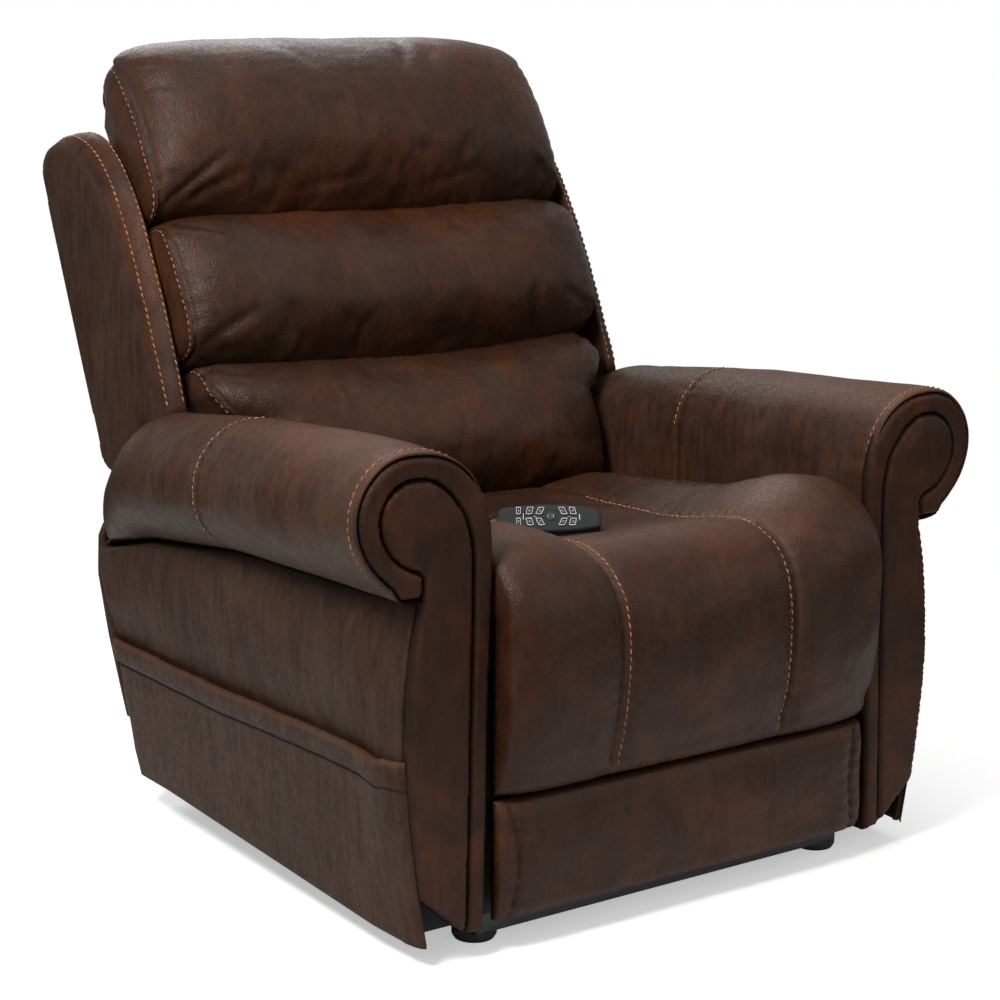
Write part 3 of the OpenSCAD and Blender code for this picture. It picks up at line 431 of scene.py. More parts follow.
def newFinish(name):
    finish = bpy.data.materials.new(name)
    finish.use_nodes = True
    tree = finish.node_tree
    tree.nodes.clear()
    out = put(tree, "OutputMaterial")
    shader = put(tree, "BsdfPrincipled")
    tree.links.new(shader.outputs[0], out.inputs["Surface"])
    return finish, tree, shader


def dress(tree, shader, color, rough, height, strength, reach):
    bump = put(tree, "Bump", {"Strength": strength, "Distance": reach, "Height": height})
    for label, source in (("Base Color", color), ("Roughness", rough), ("Normal", bump.outputs[0])):
        tree.links.new(source, shader.inputs[label])


def groupFinish(name, group, facts, strength, reach, **shaderFacts):  # one group drives the whole surface
    finish, tree, shader = newFinish(name)
    made = tree.nodes.new("ShaderNodeGroup")
    made.node_tree = group
    for key, value in facts.items():
        made.inputs[key].default_value = (*value, 1) if isinstance(value, tuple) else value
    dress(tree, shader, *[made.outputs[k] for k in ("Color", "Roughness", "Height")], strength, reach)
    for key, value in shaderFacts.items():
        shader.inputs[{"metal": "Metallic", "shine": "Specular IOR Level"}[key]].default_value = value
    return finish, tree, made


def hideFinish(name, base, rust, ash, rustAmount, ashAmount, nap, polish, shine, grain):
    facts = {"Base": base, "Rust": rust, "Ash": ash, "Rust amount": rustAmount, "Ash amount": ashAmount,
             "Nap": nap, "Polish": polish}
    finish, tree, hide = groupFinish(name, hideGroup, facts, grain, 0.0009, shine=shine)
    for key in ("Crest", "Fold"):
        tree.links.new(put(tree, "Attribute", attribute_name=key.lower()).outputs["Fac"], hide.inputs[key])
    return finish


def hardFinish(name, base, rubbed, rough, metal=0.0, scale=40.0, dust=0.2, bumps=0.25, shine=0.5):
    facts = {"Base": base, "Rubbed": rubbed, "Scale": scale, "Rough": rough, "Dust": dust}
    return groupFinish(name, rubGroup, facts, bumps, 0.0005, metal=metal, shine=shine)[0]


def timberFinish():
    finish, tree, shader = newFinish("frameTimber")
    place = stretched(tree, put(tree, "TexCoord").outputs["Object"], 1, 0.12, 1)
    grown = put(tree, "TexWave", {"Vector": place, "Scale": 45.0, "Distortion": 5.0, "Detail": 4.0})
    rings = grown.outputs["Fac"]
    fibre = spots(tree, place, 260.0, 4.0)
    color = blendColors(tree, rings, (0.42, 0.27, 0.13, 1), (0.6, 0.43, 0.25, 1))
    color = blendColors(tree, mask(tree, fibre, 0.5, 0.75), color, (0.3, 0.18, 0.09, 1))
    rough = put(tree, "MapRange", {"Value": fibre, "To Min": 0.5, "To Max": 0.8}).outputs[0]
    dress(tree, shader, color, rough, fibre, 0.3, 0.0005)
    return finish


def threadFinish():
    finish, tree, shader = newFinish("saddleThread")
    place = put(tree, "TexCoord").outputs["Object"]
    twist = put(tree, "TexWave", {"Vector": place, "Scale": 700.0, "Distortion": 1.5}).outputs["Fac"]
    tone = spots(tree, place, 60.0, 3.0)
    color = blendColors(tree, mask(tree, tone, 0.35, 0.65), (0.22, 0.09, 0.04, 1), (0.46, 0.215, 0.11, 1))
    rough = put(tree, "MapRange", {"Value": tone, "To Min": 0.45, "To Max": 0.7}).outputs[0]
    dress(tree, shader, color, rough, twist, 0.4, 0.0003)
    return finish


plainBase, plainAsh = (0.037, 0.0142, 0.0075), (0.043, 0.0265, 0.0185)
hideSmooth = hideFinish("cushionHide", plainBase, (0.088, 0.027, 0.0100), plainAsh,
                        rustAmount=0.62, ashAmount=0.45, nap=0.06, polish=0.86, shine=0.17, grain=0.85)
# painted sheen: the greyer ash tone and heavier nap here stand partly for the grey sheen of the side panels at
# grazing angles, over the real brushed nap
hideNap = hideFinish("brushedSideHide", (0.038, 0.0166, 0.0092), (0.064, 0.0235, 0.0112), (0.062, 0.040, 0.029),
                     rustAmount=0.4, ashAmount=0.5, nap=0.42, polish=0.50, shine=0.12, grain=0.8)
hideFront = hideFinish("armFrontHide", plainBase, (0.080, 0.0255, 0.0105), plainAsh,
                       rustAmount=0.75, ashAmount=0.3, nap=0.10, polish=0.6, shine=0.14, grain=0.65)
hideRoll = hideFinish("rollHide", (0.041, 0.0175, 0.0098), (0.094, 0.031, 0.0130), (0.070, 0.046, 0.034),
                      rustAmount=0.6, ashAmount=0.45, nap=0.20, polish=0.66, shine=0.15, grain=0.85)
thread = threadFinish()
timber = timberFinish()
paintedSteel = hardFinish("paintedSteel", (0.03, 0.03, 0.032), (0.08, 0.08, 0.08), 0.42, dust=0.35)
brightSteel = hardFinish("zincSteel", (0.55, 0.55, 0.54), (0.35, 0.34, 0.33), 0.3, metal=1.0, dust=0.1)
springSteel = hardFinish("springSteel", (0.16, 0.15, 0.14), (0.3, 0.28, 0.25), 0.36, metal=0.9, dust=0.1)
motorPlastic = hardFinish("motorPlastic", (0.025, 0.026, 0.028), (0.06, 0.06, 0.06), 0.5, scale=25.0)
glideRubber = hardFinish("glideRubber", (0.02, 0.02, 0.02), (0.05, 0.05, 0.05), 0.65)
casePlastic = hardFinish("handsetPlastic", (0.016, 0.018, 0.019), (0.03, 0.032, 0.033), 0.5,
                         dust=0.0, shine=0.2)
knobPlastic = hardFinish("knobPlastic", (0.012, 0.012, 0.013), (0.04, 0.04, 0.04), 0.35, dust=0.02)
keyRubber = hardFinish("keyRubber", (0.024, 0.026, 0.027), (0.045, 0.047, 0.048), 0.6, dust=0.0, shine=0.2)
printWhite = hardFinish("printedOutline", (0.55, 0.56, 0.56), (0.48, 0.49, 0.49), 0.55, dust=0.02)
cordRubber = hardFinish("cordRubber", (0.018, 0.018, 0.019), (0.05, 0.05, 0.05), 0.5, dust=0.05)
liningCloth = hardFinish("blackLining", (0.012, 0.012, 0.013), (0.03, 0.03, 0.03), 0.9, bumps=0.6)
print("stage: finishes ready")

# camera and studio
viewer = dict(target=(0, -0.016, 0.5), turn=-34.67, rise=10.6, away=3.187, lens=82.22, shift=(0.0221, -0.0388))


def onSphere(target, turn, rise, away):
    t, r = math.radians(turn), math.radians(rise)
    return Vector(target) + away * Vector((math.sin(t) * math.cos(r), -math.cos(t) * math.cos(r), math.sin(r)))


def aim(thing, target):
    thing.rotation_euler = (Vector(target) - thing.location).to_track_quat("-Z", "Y").to_euler()


lens = bpy.data.cameras.new("viewerCamera")
camera = bpy.data.objects.new("viewerCamera", lens)
bpy.context.scene.collection.objects.link(camera)
camera.location = onSphere(viewer["target"], viewer["turn"], viewer["rise"], viewer["away"])
aim(camera, viewer["target"])
lens.lens, lens.sensor_width, lens.sensor_fit = viewer["lens"], 36, "HORIZONTAL"
lens.shift_x, lens.shift_y = viewer["shift"]
lens.clip_start, lens.clip_end = 0.05, 60
bpy.context.scene.camera = camera
bpy.context.scene.view_settings.view_transform = "Standard"

lamps = {
    "keyLamp": dict(turn=-66, rise=44, away=3.0, size=0.8, power=78, tint=(1, 0.97, 0.94)),
    "topLamp": dict(turn=-10, rise=82, away=3.1, size=2.2, power=23, tint=(1, 0.98, 0.96)),
    "fillLamp": dict(turn=28, rise=24, away=3.6, size=2.4, power=21, tint=(0.98, 0.98, 1)),
    "rearLamp": dict(turn=165, rise=40, away=3.4, size=2.0, power=36, tint=(1, 1, 1)),
}
for name, made in lamps.items():
    light = bpy.data.lights.new(name, "AREA")
    light.shape, light.size, light.energy, light.color = "SQUARE", made["size"], made["power"], made["tint"]
    lamp = bpy.data.objects.new(name, light)
    bpy.context.scene.collection.objects.link(lamp)
    lamp.location = onSphere((0, 0, 0.5), made["turn"], made["rise"], made["away"])
    aim(lamp, (0, 0, 0.5))

world = bpy.data.worlds.new("studio")
bpy.context.scene.world = world
world.use_nodes = True
tree = world.node_tree
tree.nodes.clear()
path = put(tree, "LightPath")
seen = compute(tree, "MAXIMUM", path.outputs["Is Camera Ray"], path.outputs["Is Transmission Ray"])
seen = compute(tree, "MAXIMUM", seen, times(tree, path.outputs["Is Glossy Ray"], 0.22))
level = put(tree, "MapRange", {"Value": seen, "To Min": 0.27, "To Max": 1.0})
sky = put(tree, "Background", {"Color": (1, 1, 1, 1), "Strength": level.outputs[0]})
tree.links.new(sky.outputs[0], put(tree, "OutputWorld").inputs["Surface"])

floorFinish, tree, shader = newFinish("studioFloor")
place = put(tree, "TexCoord").outputs["Object"]
apart = put(tree, "VectorMath", {0: place}, operation="LENGTH").outputs["Value"]
farOff = mask(tree, apart, 0.95, 1.9)
tone = blendColors(tree, spots(tree, place, 1.5, 2.0), (0.9, 0.9, 0.9, 1), (0.92, 0.92, 0.92, 1))
tree.links.new(blendColors(tree, farOff, tone, (0, 0, 0, 1)), shader.inputs["Base Color"])
shader.inputs["Roughness"].default_value = 0.9
shader.inputs["Specular IOR Level"].default_value = 0.0
glow = put(tree, "LightPath")
shown = compute(tree, "MAXIMUM", glow.outputs["Is Camera Ray"], glow.outputs["Is Transmission Ray"])
level = put(tree, "MapRange", {"Value": farOff, "To Min": 0.45, "To Max": 1.0}).outputs[0]
lift = put(tree, "Emission", {"Color": (1, 1, 1, 1), "Strength": times(tree, shown, level)})
both = put(tree, "AddShader", {0: shader.outputs[0], 1: lift.outputs[0]})
tree.links.new(both.outputs[0], [n for n in tree.nodes if n.type == "OUTPUT_MATERIAL"][0].inputs["Surface"])
floor = addMesh("studioFloor", [(-12, -12, 0), (12, -12, 0), (12, 12, 0), (-12, 12, 0)], [(0, 1, 2, 3)],
                floorFinish, None, slot=None)
print("stage: studio ready")

# handset cord, made before the pieces round it
cord = dict(diameter=0.005, exit=(-.149217, -.260555, .4811), points=[
    (-.149217, -.260555, .4811), (-.154132, -.257114, .4811), (-.164, -.2505, .4785),
    (-.178, -.2435, .474), (-.195, -.2385, .4725), (-.212, -.236, .474), (-.230, -.234, .478),
    (-.247, -.233, .4815), (-.262, -.2325, .483), (-.274, -.232, .481), (-.284, -.232, .4755),
    (-.2915, -.232, .467), (-.2965, -.232, .4555), (-.2985, -.232, .441), (-.2985, -.232, .415),
    (-.2985, -.232, .385), (-.2985, -.232, .355), (-.2985, -.232, .325), (-.2985, -.232, .295),
    (-.2985, -.231, .265), (-.2981, -.229, .241), (-.2965, -.226, .222), (-.2925, -.222, .208),
    (-.2865, -.217, .199), (-.279, -.2125, .194), (-.271, -.2085, .192), (-.26305, -.206, .192)])
curve = bpy.data.curves.new("handsetLead", "CURVE")
curve.dimensions, curve.bevel_depth, curve.bevel_resolution = "3D", cord["diameter"] / 2, 5
curve.use_fill_caps = True
spline = curve.splines.new("POLY")
leadLine = smoothLine(cord["points"], 0.004)
spline.points.add(len(leadLine) - 1)
for k, p in enumerate(leadLine):
    spline.points[k].co = (*p, 1)
lead = bpy.data.objects.new("handsetLead", curve)
bpy.context.scene.collection.objects.link(lead)
curve.materials.append(cordRubber)
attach(lead, "chair")
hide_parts("handset_cord")
print("stage: cord laid")

# arms, shaped for the left side and turned over for the right
arm = dict(axisX=0.3903, axisZ=0.536, frontY=-0.4738, seamX=0.4095, innerX=0.3030, crossSeam=-0.083,
           pleat=0.205, rollRadius=0.092, stitchY=-0.4660)
rollStations = np.array([  # y, radius, drop of the axis, half width, distance off the front band, its share
    (-.4600, .0918, 0, .0918, -.0030, 1), (-.4690, .0918, 0, .0918, .0002, 1),
    (-.4750, .0918, 0, .0918, .0010, 1), (-.4776, .0918, 0, .0918, .0026, 1),
    (-.4772, .0918, 0, .0918, .0044, 1), (-.4740, .0918, 0, .0918, .0058, 1),
    (-.4665, .0918, 0, .0918, .0064, 1), (-.4480, .0918, 0, .0918, .0064, .9),
    (-.400, .0910, .001, .0910, .0055, .35), (-.340, .0902, .003, .0902, .004, 0),
    (-.240, .0895, .007, .0895, 0, 0), (-.083, .087, .015, .087, 0, 0), (.060, .085, .029, .086, 0, 0),
    (.164, .082, .045, .0815, 0, 0), (.225, .0755, .080, .0640, 0, 0), (.280, .064, .106, .0430, 0, 0),
    (.312, .044, .124, .0265, 0, 0), (.327, .018, .131, .0120, 0, 0)])
seamLine = np.array([(-.50, .449), (-.4457, .449), (-.083, .437), (.164, .408), (.240, .392),
                     (.300, .378), (.36, .366)])
# outlines of the front panels, as across and height: the disc, the band round it and the stem's outer side
discEdge = np.array([
    (.3972, .4785), (.4048, .4842), (.4155, .4885), (.4262, .4945), (.4389, .5063), (.4493, .5224),
    (.4544, .5394), (.455, .5486), (.4528, .5611), (.4468, .5731), (.434, .5853), (.4191, .5914),
    (.3998, .5922), (.3826, .5881), (.3653, .5765), (.35, .5599), (.339, .5437), (.3324, .5242),
    (.3291, .505), (.328, .4672), (.3287, .4294), (.3303, .3609), (.3340, .200), (.3385, .035)])
bandEdge = np.array([
    (.427, .4545), (.4379, .4700), (.4547, .4855), (.4672, .5000), (.4775, .5201), (.4825, .539),
    (.4822, .5607), (.4747, .5814), (.462, .5981), (.443, .6123), (.4218, .6181), (.3984, .618),
    (.3725, .6142), (.3464, .6018), (.3265, .583), (.3109, .5625), (.3042, .5411), (.3008, .5161),
    (.3008, .4821), (.3018, .4441), (.3052, .3564), (.3095, .200), (.3135, .032)])
stemEdge = np.array([(.390, .030), (.4005, .090), (.4115, .170), (.419, .254), (.4165, .330),
                     (.4085, .400), (.397, .452)])
for edge in (discEdge, bandEdge, stemEdge):
    edge[:, 0] -= 0.0025  # all three a little inward
bandAway = bandEdge[:15] - (arm["axisX"], arm["axisZ"])  # its round stretch, from the roll's axis
bandTurns = np.arctan2(bandAway[:, 1], bandAway[:, 0])
bandTurns = np.where(bandTurns < -2, bandTurns + 2 * math.pi, bandTurns)
bandReach = np.hypot(bandAway[:, 1], bandAway[:, 0])


def bandRim(angle, off):  # distance from the roll's axis to a line round the band
    return float(np.interp(angle, bandTurns, bandReach)) + off * (1 + 0.6 * min(0, math.cos(angle)))


def seamZ(y):
    return np.interp(y, seamLine[:, 0], seamLine[:, 1])


def rearY(z):
    return 0.245 + (np.asarray(z) - 0.051) * 0.238


def lowZ(y):
    return 0.027 + (np.asarray(y) + 0.476) * 0.035


def rollRing(run):  # one ring of the arm roll, at a place along its stations
    y, r, drop, wide, off, share = curveAt(rollRun, rollStations, run)
    zc, seam = arm["axisZ"] - drop, float(seamZ(y))
    pull = 0.0028 * dip(y, arm["crossSeam"], 0.0045) + 0.0011 * dip(y, arm["pleat"], 0.007)
    r, wide = r - pull, wide - pull
    low = min(0.96, (zc - seam) / max(r, 1e-4))
    first = -math.asin(max(0.05, low)) * 0.86
    ring = [(arm["seamX"] - 0.004, y, seam + 0.0003), (arm["seamX"], y, seam + 0.0008)]
    start = (arm["axisX"] + wide * math.cos(first), zc + r * math.sin(first))
    for t in (0.35, 0.7):
        ring.append((arm["seamX"] + (start[0] - arm["seamX"]) * t, y,
                     seam + 0.0012 + (start[1] - seam) * t ** 1.8))
    for a in np.linspace(first, math.pi, 84):
        rim = bandRim(a, off)
        ring.append((arm["axisX"] + (wide * (1 - share) + rim * share) * math.cos(a), y,
                     zc + (r * (1 - share) + rim * share) * math.sin(a)))
    side = max(arm["innerX"] - 0.002, arm["axisX"] - wide)
    ring += [(side, y, zc - (zc - seam) * t) for t in np.linspace(0, 1, 11)[1:]]
    ring += [(side + (arm["seamX"] - 0.006 - side) * t, y, seam + 0.0002) for t in (0.25, 0.5, 0.75)]
    return ring


rollRun = lengthsOf(np.stack([rollStations[:, 0], rollStations[:, 1] + rollStations[:, 4]], axis=1))
runs = np.concatenate([np.linspace(0, rollRun[7], 34)[:-1], np.linspace(rollRun[7], rollRun[-1], 172)])
rollRings = np.array([rollRing(u) for u in runs])
y = rollRings[:, :, 1]
away = rollRings - grids(arm["axisX"], y, arm["axisZ"] - np.interp(y, rollStations[:, 0], rollStations[:, 2]))
away /= np.maximum(np.linalg.norm(away, axis=2, keepdims=True), 1e-9)
angle = np.arctan2(away[:, :, 2], away[:, :, 0])
free = ease(rollRings[:, :, 2], 0.445, 0.475) * ease(y, -0.478, -0.455)
bumps = 0.0016 * soft(rollRings, (0.075, 0.11, 0.06), 3.1) + 0.0007 * soft(rollRings, (0.022, 0.05, 0.022), 8.7)
gather = 0.0010 * np.sin(angle * 26 + 2.0 * soft(rollRings, (0.03, 0.03, 0.03), 1.0))
gather *= np.exp(-np.abs(y - arm["crossSeam"]) / 0.016) + 0.5 * np.exp(-np.abs(y + 0.466) / 0.014)
rollRings = rollRings + away * (free * (bumps + gather))[:, :, None]
# painted shade in the cross seam and the pleat
rollFold = dip(y, arm["crossSeam"], 0.0017) + 0.25 * dip(y, arm["pleat"], 0.004)
# lighter along the top of the roll, by height, and along the front welt: rub wear and painted highlight
rollCrest = ease(rollRings[:, :, 2], 0.575, 0.625) * 0.5 + 0.35 * dip(y, -0.468, 0.006) * (angle > -0.5)


def stemX(z):
    return np.interp(z, stemEdge[:, 1], stemEdge[:, 0])


def roundUp(away, reach, height):  # how far a padded panel rises, by distance from its edge
    t = np.clip(away / reach, 0, 1)
    return height * np.sqrt(1 - (1 - t) ** 2)


def frontPlace(rise, reach, dome, seed):
    def place(flat, away):
        x, z = flat[:, 0], flat[:, 1]
        bump = np.exp(-(((x - 0.392) / 0.045) ** 2 + ((z - 0.542) / 0.045) ** 2))
        puff = dome * bump * np.clip(away / 0.02, 0, 1)
        p = grids(x, arm["frontY"], z)
        waves = 0.0012 * soft(p, (0.05, 1, 0.09), seed) + 0.0005 * soft(p, (0.016, 1, 0.03), seed + 4)
        p[:, 1] -= roundUp(away, reach, rise) + puff + waves * np.clip(away / 0.012, 0, 1)
        return p
    return place


stemOutline = np.vstack([smoothLine(discEdge, 0.0035), smoothLine(stemEdge[1:], 0.006)[:-1], [(.397, .4525)]])
bandOutline = np.vstack([smoothLine(bandEdge, 0.0035), smoothLine(discEdge[::-1], 0.0035), [(.3972, .4545)]])
stemPanel = paddedPanel(stemOutline, 0.0042, frontPlace(0.0080, 0.0068, 0.0055, 2.0), (0, 0, 0))
bandPanel = paddedPanel(bandOutline, 0.0036, frontPlace(0.0080, 0.0064, 0.0, 5.0), (0, 0, 0))


def flatBack(panel):  # the rear of a front panel is shallow inside the roll and deep below it
    points, faces, away = panel
    n = len(points) // 2
    points = points.copy()
    points[n:, 1] = np.interp(points[n:, 2], [0.446, 0.456], [-0.4465, -0.4680])
    return points, facingOut(points, faces), away


stemPanel, bandPanel = flatBack(stemPanel), flatBack(bandPanel)


def outerX(z):
    return curveAt([.028, .06, .15, .235, .262, .30, .36, .41, .435, .449],
                   [.4005, .4035, .4075, .4105, .4155, .4235, .4280, .4225, .4150, .4095], z)


def sideColumns():  # places along the side, from the front seam round to the rear face
    for a in np.linspace(0, 1, 12):
        yield "front", a
    for a in np.linspace(0, 1, 150)[1:]:
        yield "side", a
    for a in np.linspace(0, 1, 8)[1:]:
        yield "corner", a
    for a in np.linspace(0, 1, 20)[1:]:
        yield "rear", a


def sidePlan(part, a, z):
    stem = float(stemX(z))
    corner = stem + 0.0085
    out = float(outerX(z))
    far = float(rearY(z))
    if part == "front":
        t = a * math.pi / 2
        return stem + (corner - stem) * math.sin(t), -0.470 + 0.030 * (1 - math.cos(t))
    if part == "side":
        y = -0.440 + (far - 0.010 + 0.440) * a
        return corner + (out - corner) * float(ease(y, -0.445, -0.37)), y
    if part == "corner":
        t = a * math.pi / 2
        return out - 0.012 * (1 - math.cos(t)), far - 0.010 + 0.013 * math.sin(t)
    return out - 0.012 + (arm["innerX"] - out + 0.012) * a, far + 0.003


def sideGrid(levels):  # levels gives the height of each row at a place along the side
    grid = []
    for part, a in sideColumns():
        y = {"front": -0.46, "side": -0.44 + 0.78 * a, "corner": 0.345, "rear": 0.35}[part]
        column = []
        for z in levels(y):
            x, far = sidePlan(part, a, z)
            column.append((x, far, z))
        grid.append(column)
    return np.transpose(np.array(grid), (1, 0, 2))


def sideLevels(y):
    low, top = float(lowZ(min(y, 0.245))), float(seamZ(y)) - 0.0004
    return low + (top - low) * np.linspace(0, 1, 86)


sideSkin = sideGrid(sideLevels)
outward = normalsOf(sideSkin)
if outward[40, 60, 0] < 0:
    outward = -outward
rowAt = np.linspace(0, 1, 86)[:, None] * np.ones(sideSkin.shape[:2])
held = ease(rowAt, 0, 0.04) * ease(1 - rowAt, 0, 0.05)
sideSkin = sideSkin + outward * (held * (
    0.0026 * soft(sideSkin, (0.3, 0.12, 0.09), 12.0)
    + 0.0011 * soft(sideSkin, (0.1, 0.035, 0.03), 2.0)))[:, :, None]
edgeTuck = (1 - ease(1 - rowAt, 0, 0.030)) * 0.0035 + (1 - ease(rowAt, 0, 0.02)) * 0.003
columnAt = np.arange(sideSkin.shape[1])
edgeTuck = edgeTuck + ((1 - ease(columnAt, 0, 3.5)) * 0.0045)[None, :]
sideSkin = sideSkin - outward * edgeTuck[:, :, None]
sidePanelShape = slabShape(sideSkin, sideSkin - outward * 0.0045)

pocket = dict(frontTop=0.2575, rearTop=0.2440, lean=0.0085)


def pocketTop(y):
    rise = 0.0035 * float(1 - ease(y, -0.47, -0.43)) - 0.004 * math.exp(-((y - 0.05) / 0.2) ** 2)
    return pocket["frontTop"] + (pocket["rearTop"] - pocket["frontTop"]) * (y + 0.46) / 0.77 + rise


def pocketLevels(y):
    top = pocketTop(y) + 0.0012 * noise.noise(Vector((y * 14, 2.2, 0)))
    low = float(lowZ(min(y, 0.245))) - 0.001
    cuff = [top - t for t in (.0375, .0358, .0345, .0335, .0322, .030, .026, .020, .014, .008, .004, .0015, 0)]
    body = np.linspace(low, cuff[0], 44)[:-1]
    inside = [top - t for t in (-.0003, .0008, .004, .012, .024)]
    return np.concatenate([body, cuff, inside])


cuffRise = [0, -.0004, -.0014, -.0006, .0016, .0034, .0046, .0052, .0052, .0047, .0037, .0022, -.0006]
pocketSkin = sideGrid(pocketLevels)
pocketOut = normalsOf(pocketSkin[:44])
pocketOut = pocketOut if pocketOut[20, 60, 0] > 0 else -pocketOut
flatOut = pocketOut.mean(axis=0)
flatOut[:, 2] = 0
flatOut /= np.linalg.norm(flatOut, axis=1, keepdims=True)
leaning = np.concatenate([np.linspace(0.15, 1, 43) ** 0.8, np.ones(18)])  # the mouth stands off the panel
offset = 0.0022 + leaning[:, None] * (pocket["lean"] * np.ones(sideSkin.shape[1]))[None, :]
offset[43:56] += np.array(cuffRise)[:, None]
offset[56:] += np.array([-.0032, -.0048, -.0056, -.0062, -.0070])[:, None]
spread = ease(columnAt, 0, 16)
offset = offset * (0.18 + 0.82 * spread[None, :])
tail = 1 - ease(columnAt, 158, 170)  # falls flat at the rear corner
offset = offset * np.clip(tail, 0.12, 1)[None, :]
waves = 0.0016 * soft(pocketSkin, (0.3, 0.09, 0.05), 31.0) + 0.0007 * soft(pocketSkin, (0.1, 0.03, 0.02), 9.0)
offset = offset + waves * ease(np.arange(61), 2, 12)[:, None] * spread[None, :] * tail[None, :]
pocketSkin = pocketSkin + flatOut[None, :, :] * offset[:, :, None]
pocketShape = slabShape(pocketSkin, pocketSkin - flatOut[None, :, :] * 0.0016)
# painted shade in the crease under the cuff
pocketFold = np.zeros(pocketSkin.shape[:2])
pocketFold[44:46] = 0.9
# lighter along the cuff's top lip: rub wear and painted highlight
pocketCrest = np.zeros(pocketSkin.shape[:2])
pocketCrest[53:57] = 0.5

innerOutline = np.array([(-.4457, .0361), (.240, .056), (.325, .36), (.30, .3775), (.240, .3915), (.164, .4075),
                         (-.083, .4365), (-.4457, .4475)])


def innerPlace(flat, away):
    p = grids(arm["innerX"] + 0.0035, flat[:, 0], flat[:, 1])
    p[:, 0] -= roundUp(away, 0.02, 0.003) + 0.0006 * soft(p, (1, 0.07, 0.07), 6.0)
    return p


innerPanel = paddedPanel(innerOutline, 0.02, innerPlace, (0.010, 0, 0))

rearOutline = np.array([(.3075, .128), (.4115, .128), (.4200, .240), (.4215, .330), (.4120, .382),
                        (.4020, .398), (.3200, .398), (.3075, .388)])


def rearPlace(flat, away):
    p = grids(flat[:, 0], 0.2435 + (flat[:, 1] - 0.051) * 0.301, flat[:, 1])
    p[:, 1] += roundUp(away, 0.010, 0.0035) + 0.0010 * soft(p, (0.06, 1, 0.06), 14.0)
    return p


rearPanel = paddedPanel(rearOutline, 0.009, rearPlace, (0, -0.012, 0))

for side, name in ((1, "Left"), (-1, "Right")):
    low = name.lower()
    points, faces = loftShape(turnedOver(rollRings, side))
    roll = addMesh("armRoll" + name, points, faces, hideRoll, "chair")
    paintPoints(roll, "fold", np.append(rollFold.reshape(-1), [0, 0]))
    paintPoints(roll, "crest", np.append(rollCrest.reshape(-1), [0, 0]))
    addHost("armRoll" + name, points, faces)
    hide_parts("arm_roll_" + low)
    for label, shape in (("armStem", stemPanel), ("armBand", bandPanel)):
        front = addMesh(label + name, *mirrored(shape, side), hideFront, "chair")
        # painted shade in the grooves along the panel edges
        paintPoints(front, "fold", np.tile(dip(shape[2], 0, 0.0010), 2))
        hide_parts("arm_front_" + low)
    panel = addMesh("sidePanel" + name, *mirrored(sidePanelShape, side), hideNap, "chair")
    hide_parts("side_panel_" + low)
    pouch = addMesh("sidePocket" + name, *mirrored(pocketShape, side), hideNap, "chair")
    paintPoints(pouch, "fold", np.tile(pocketFold.reshape(-1), 2))
    paintPoints(pouch, "crest", np.tile(pocketCrest.reshape(-1), 2))
    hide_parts("pocket_" + low, "pocket_ends")
    innerFace = addMesh("armInner" + name, *mirrored(innerPanel, side), hideNap, "chair")
    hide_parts("arm_inner_" + low)
    addMesh("armRear" + name, *mirrored(rearPanel, side), hideNap, "chair")
    edge = []
    for a in np.radians(np.linspace(-62, 186, 90)):
        rim = bandRim(a, 0.0085)
        edge.append((arm["axisX"] + rim * math.cos(a), arm["stitchY"], arm["axisZ"] + rim * math.sin(a)))
    edge = turnedOver(evenly(edge, 0.003), side)
    stitchRow("armRollFrontStitches" + name, "armRoll" + name, edge, "chair")
    cross = [(arm["axisX"] + arm["rollRadius"] * math.cos(a), arm["crossSeam"] + 0.0048,
              0.521 + arm["rollRadius"] * math.sin(a)) for a in np.radians(np.linspace(-48, 178, 90))]
    stitchRow("armRollCrossStitches" + name, "armRoll" + name, turnedOver(evenly(cross, 0.003), side), "chair")
print("stage: arms ready")

# back, in its own leaning frame: depth forward of the hinge line and height up the back
lean = math.radians(24)
hinge = (0.184, 0.244)


def fromBack(x, v, w):
    x, v, w = [np.asarray(a, float) for a in (x, v, w)]
    return grids(x, hinge[0] + v * math.sin(lean) - w * math.cos(lean),
                 hinge[1] + v * math.cos(lean) + w * math.sin(lean))


def alongRows(rows, count):  # rows of numbers drawn out into evenly spaced rows
    rows = np.asarray(rows, float)
    run = lengthsOf(rows[:, :2] + rows[:, 2:4] * 0.35)
    return curveAt(run, rows, np.linspace(0, run[-1], count))


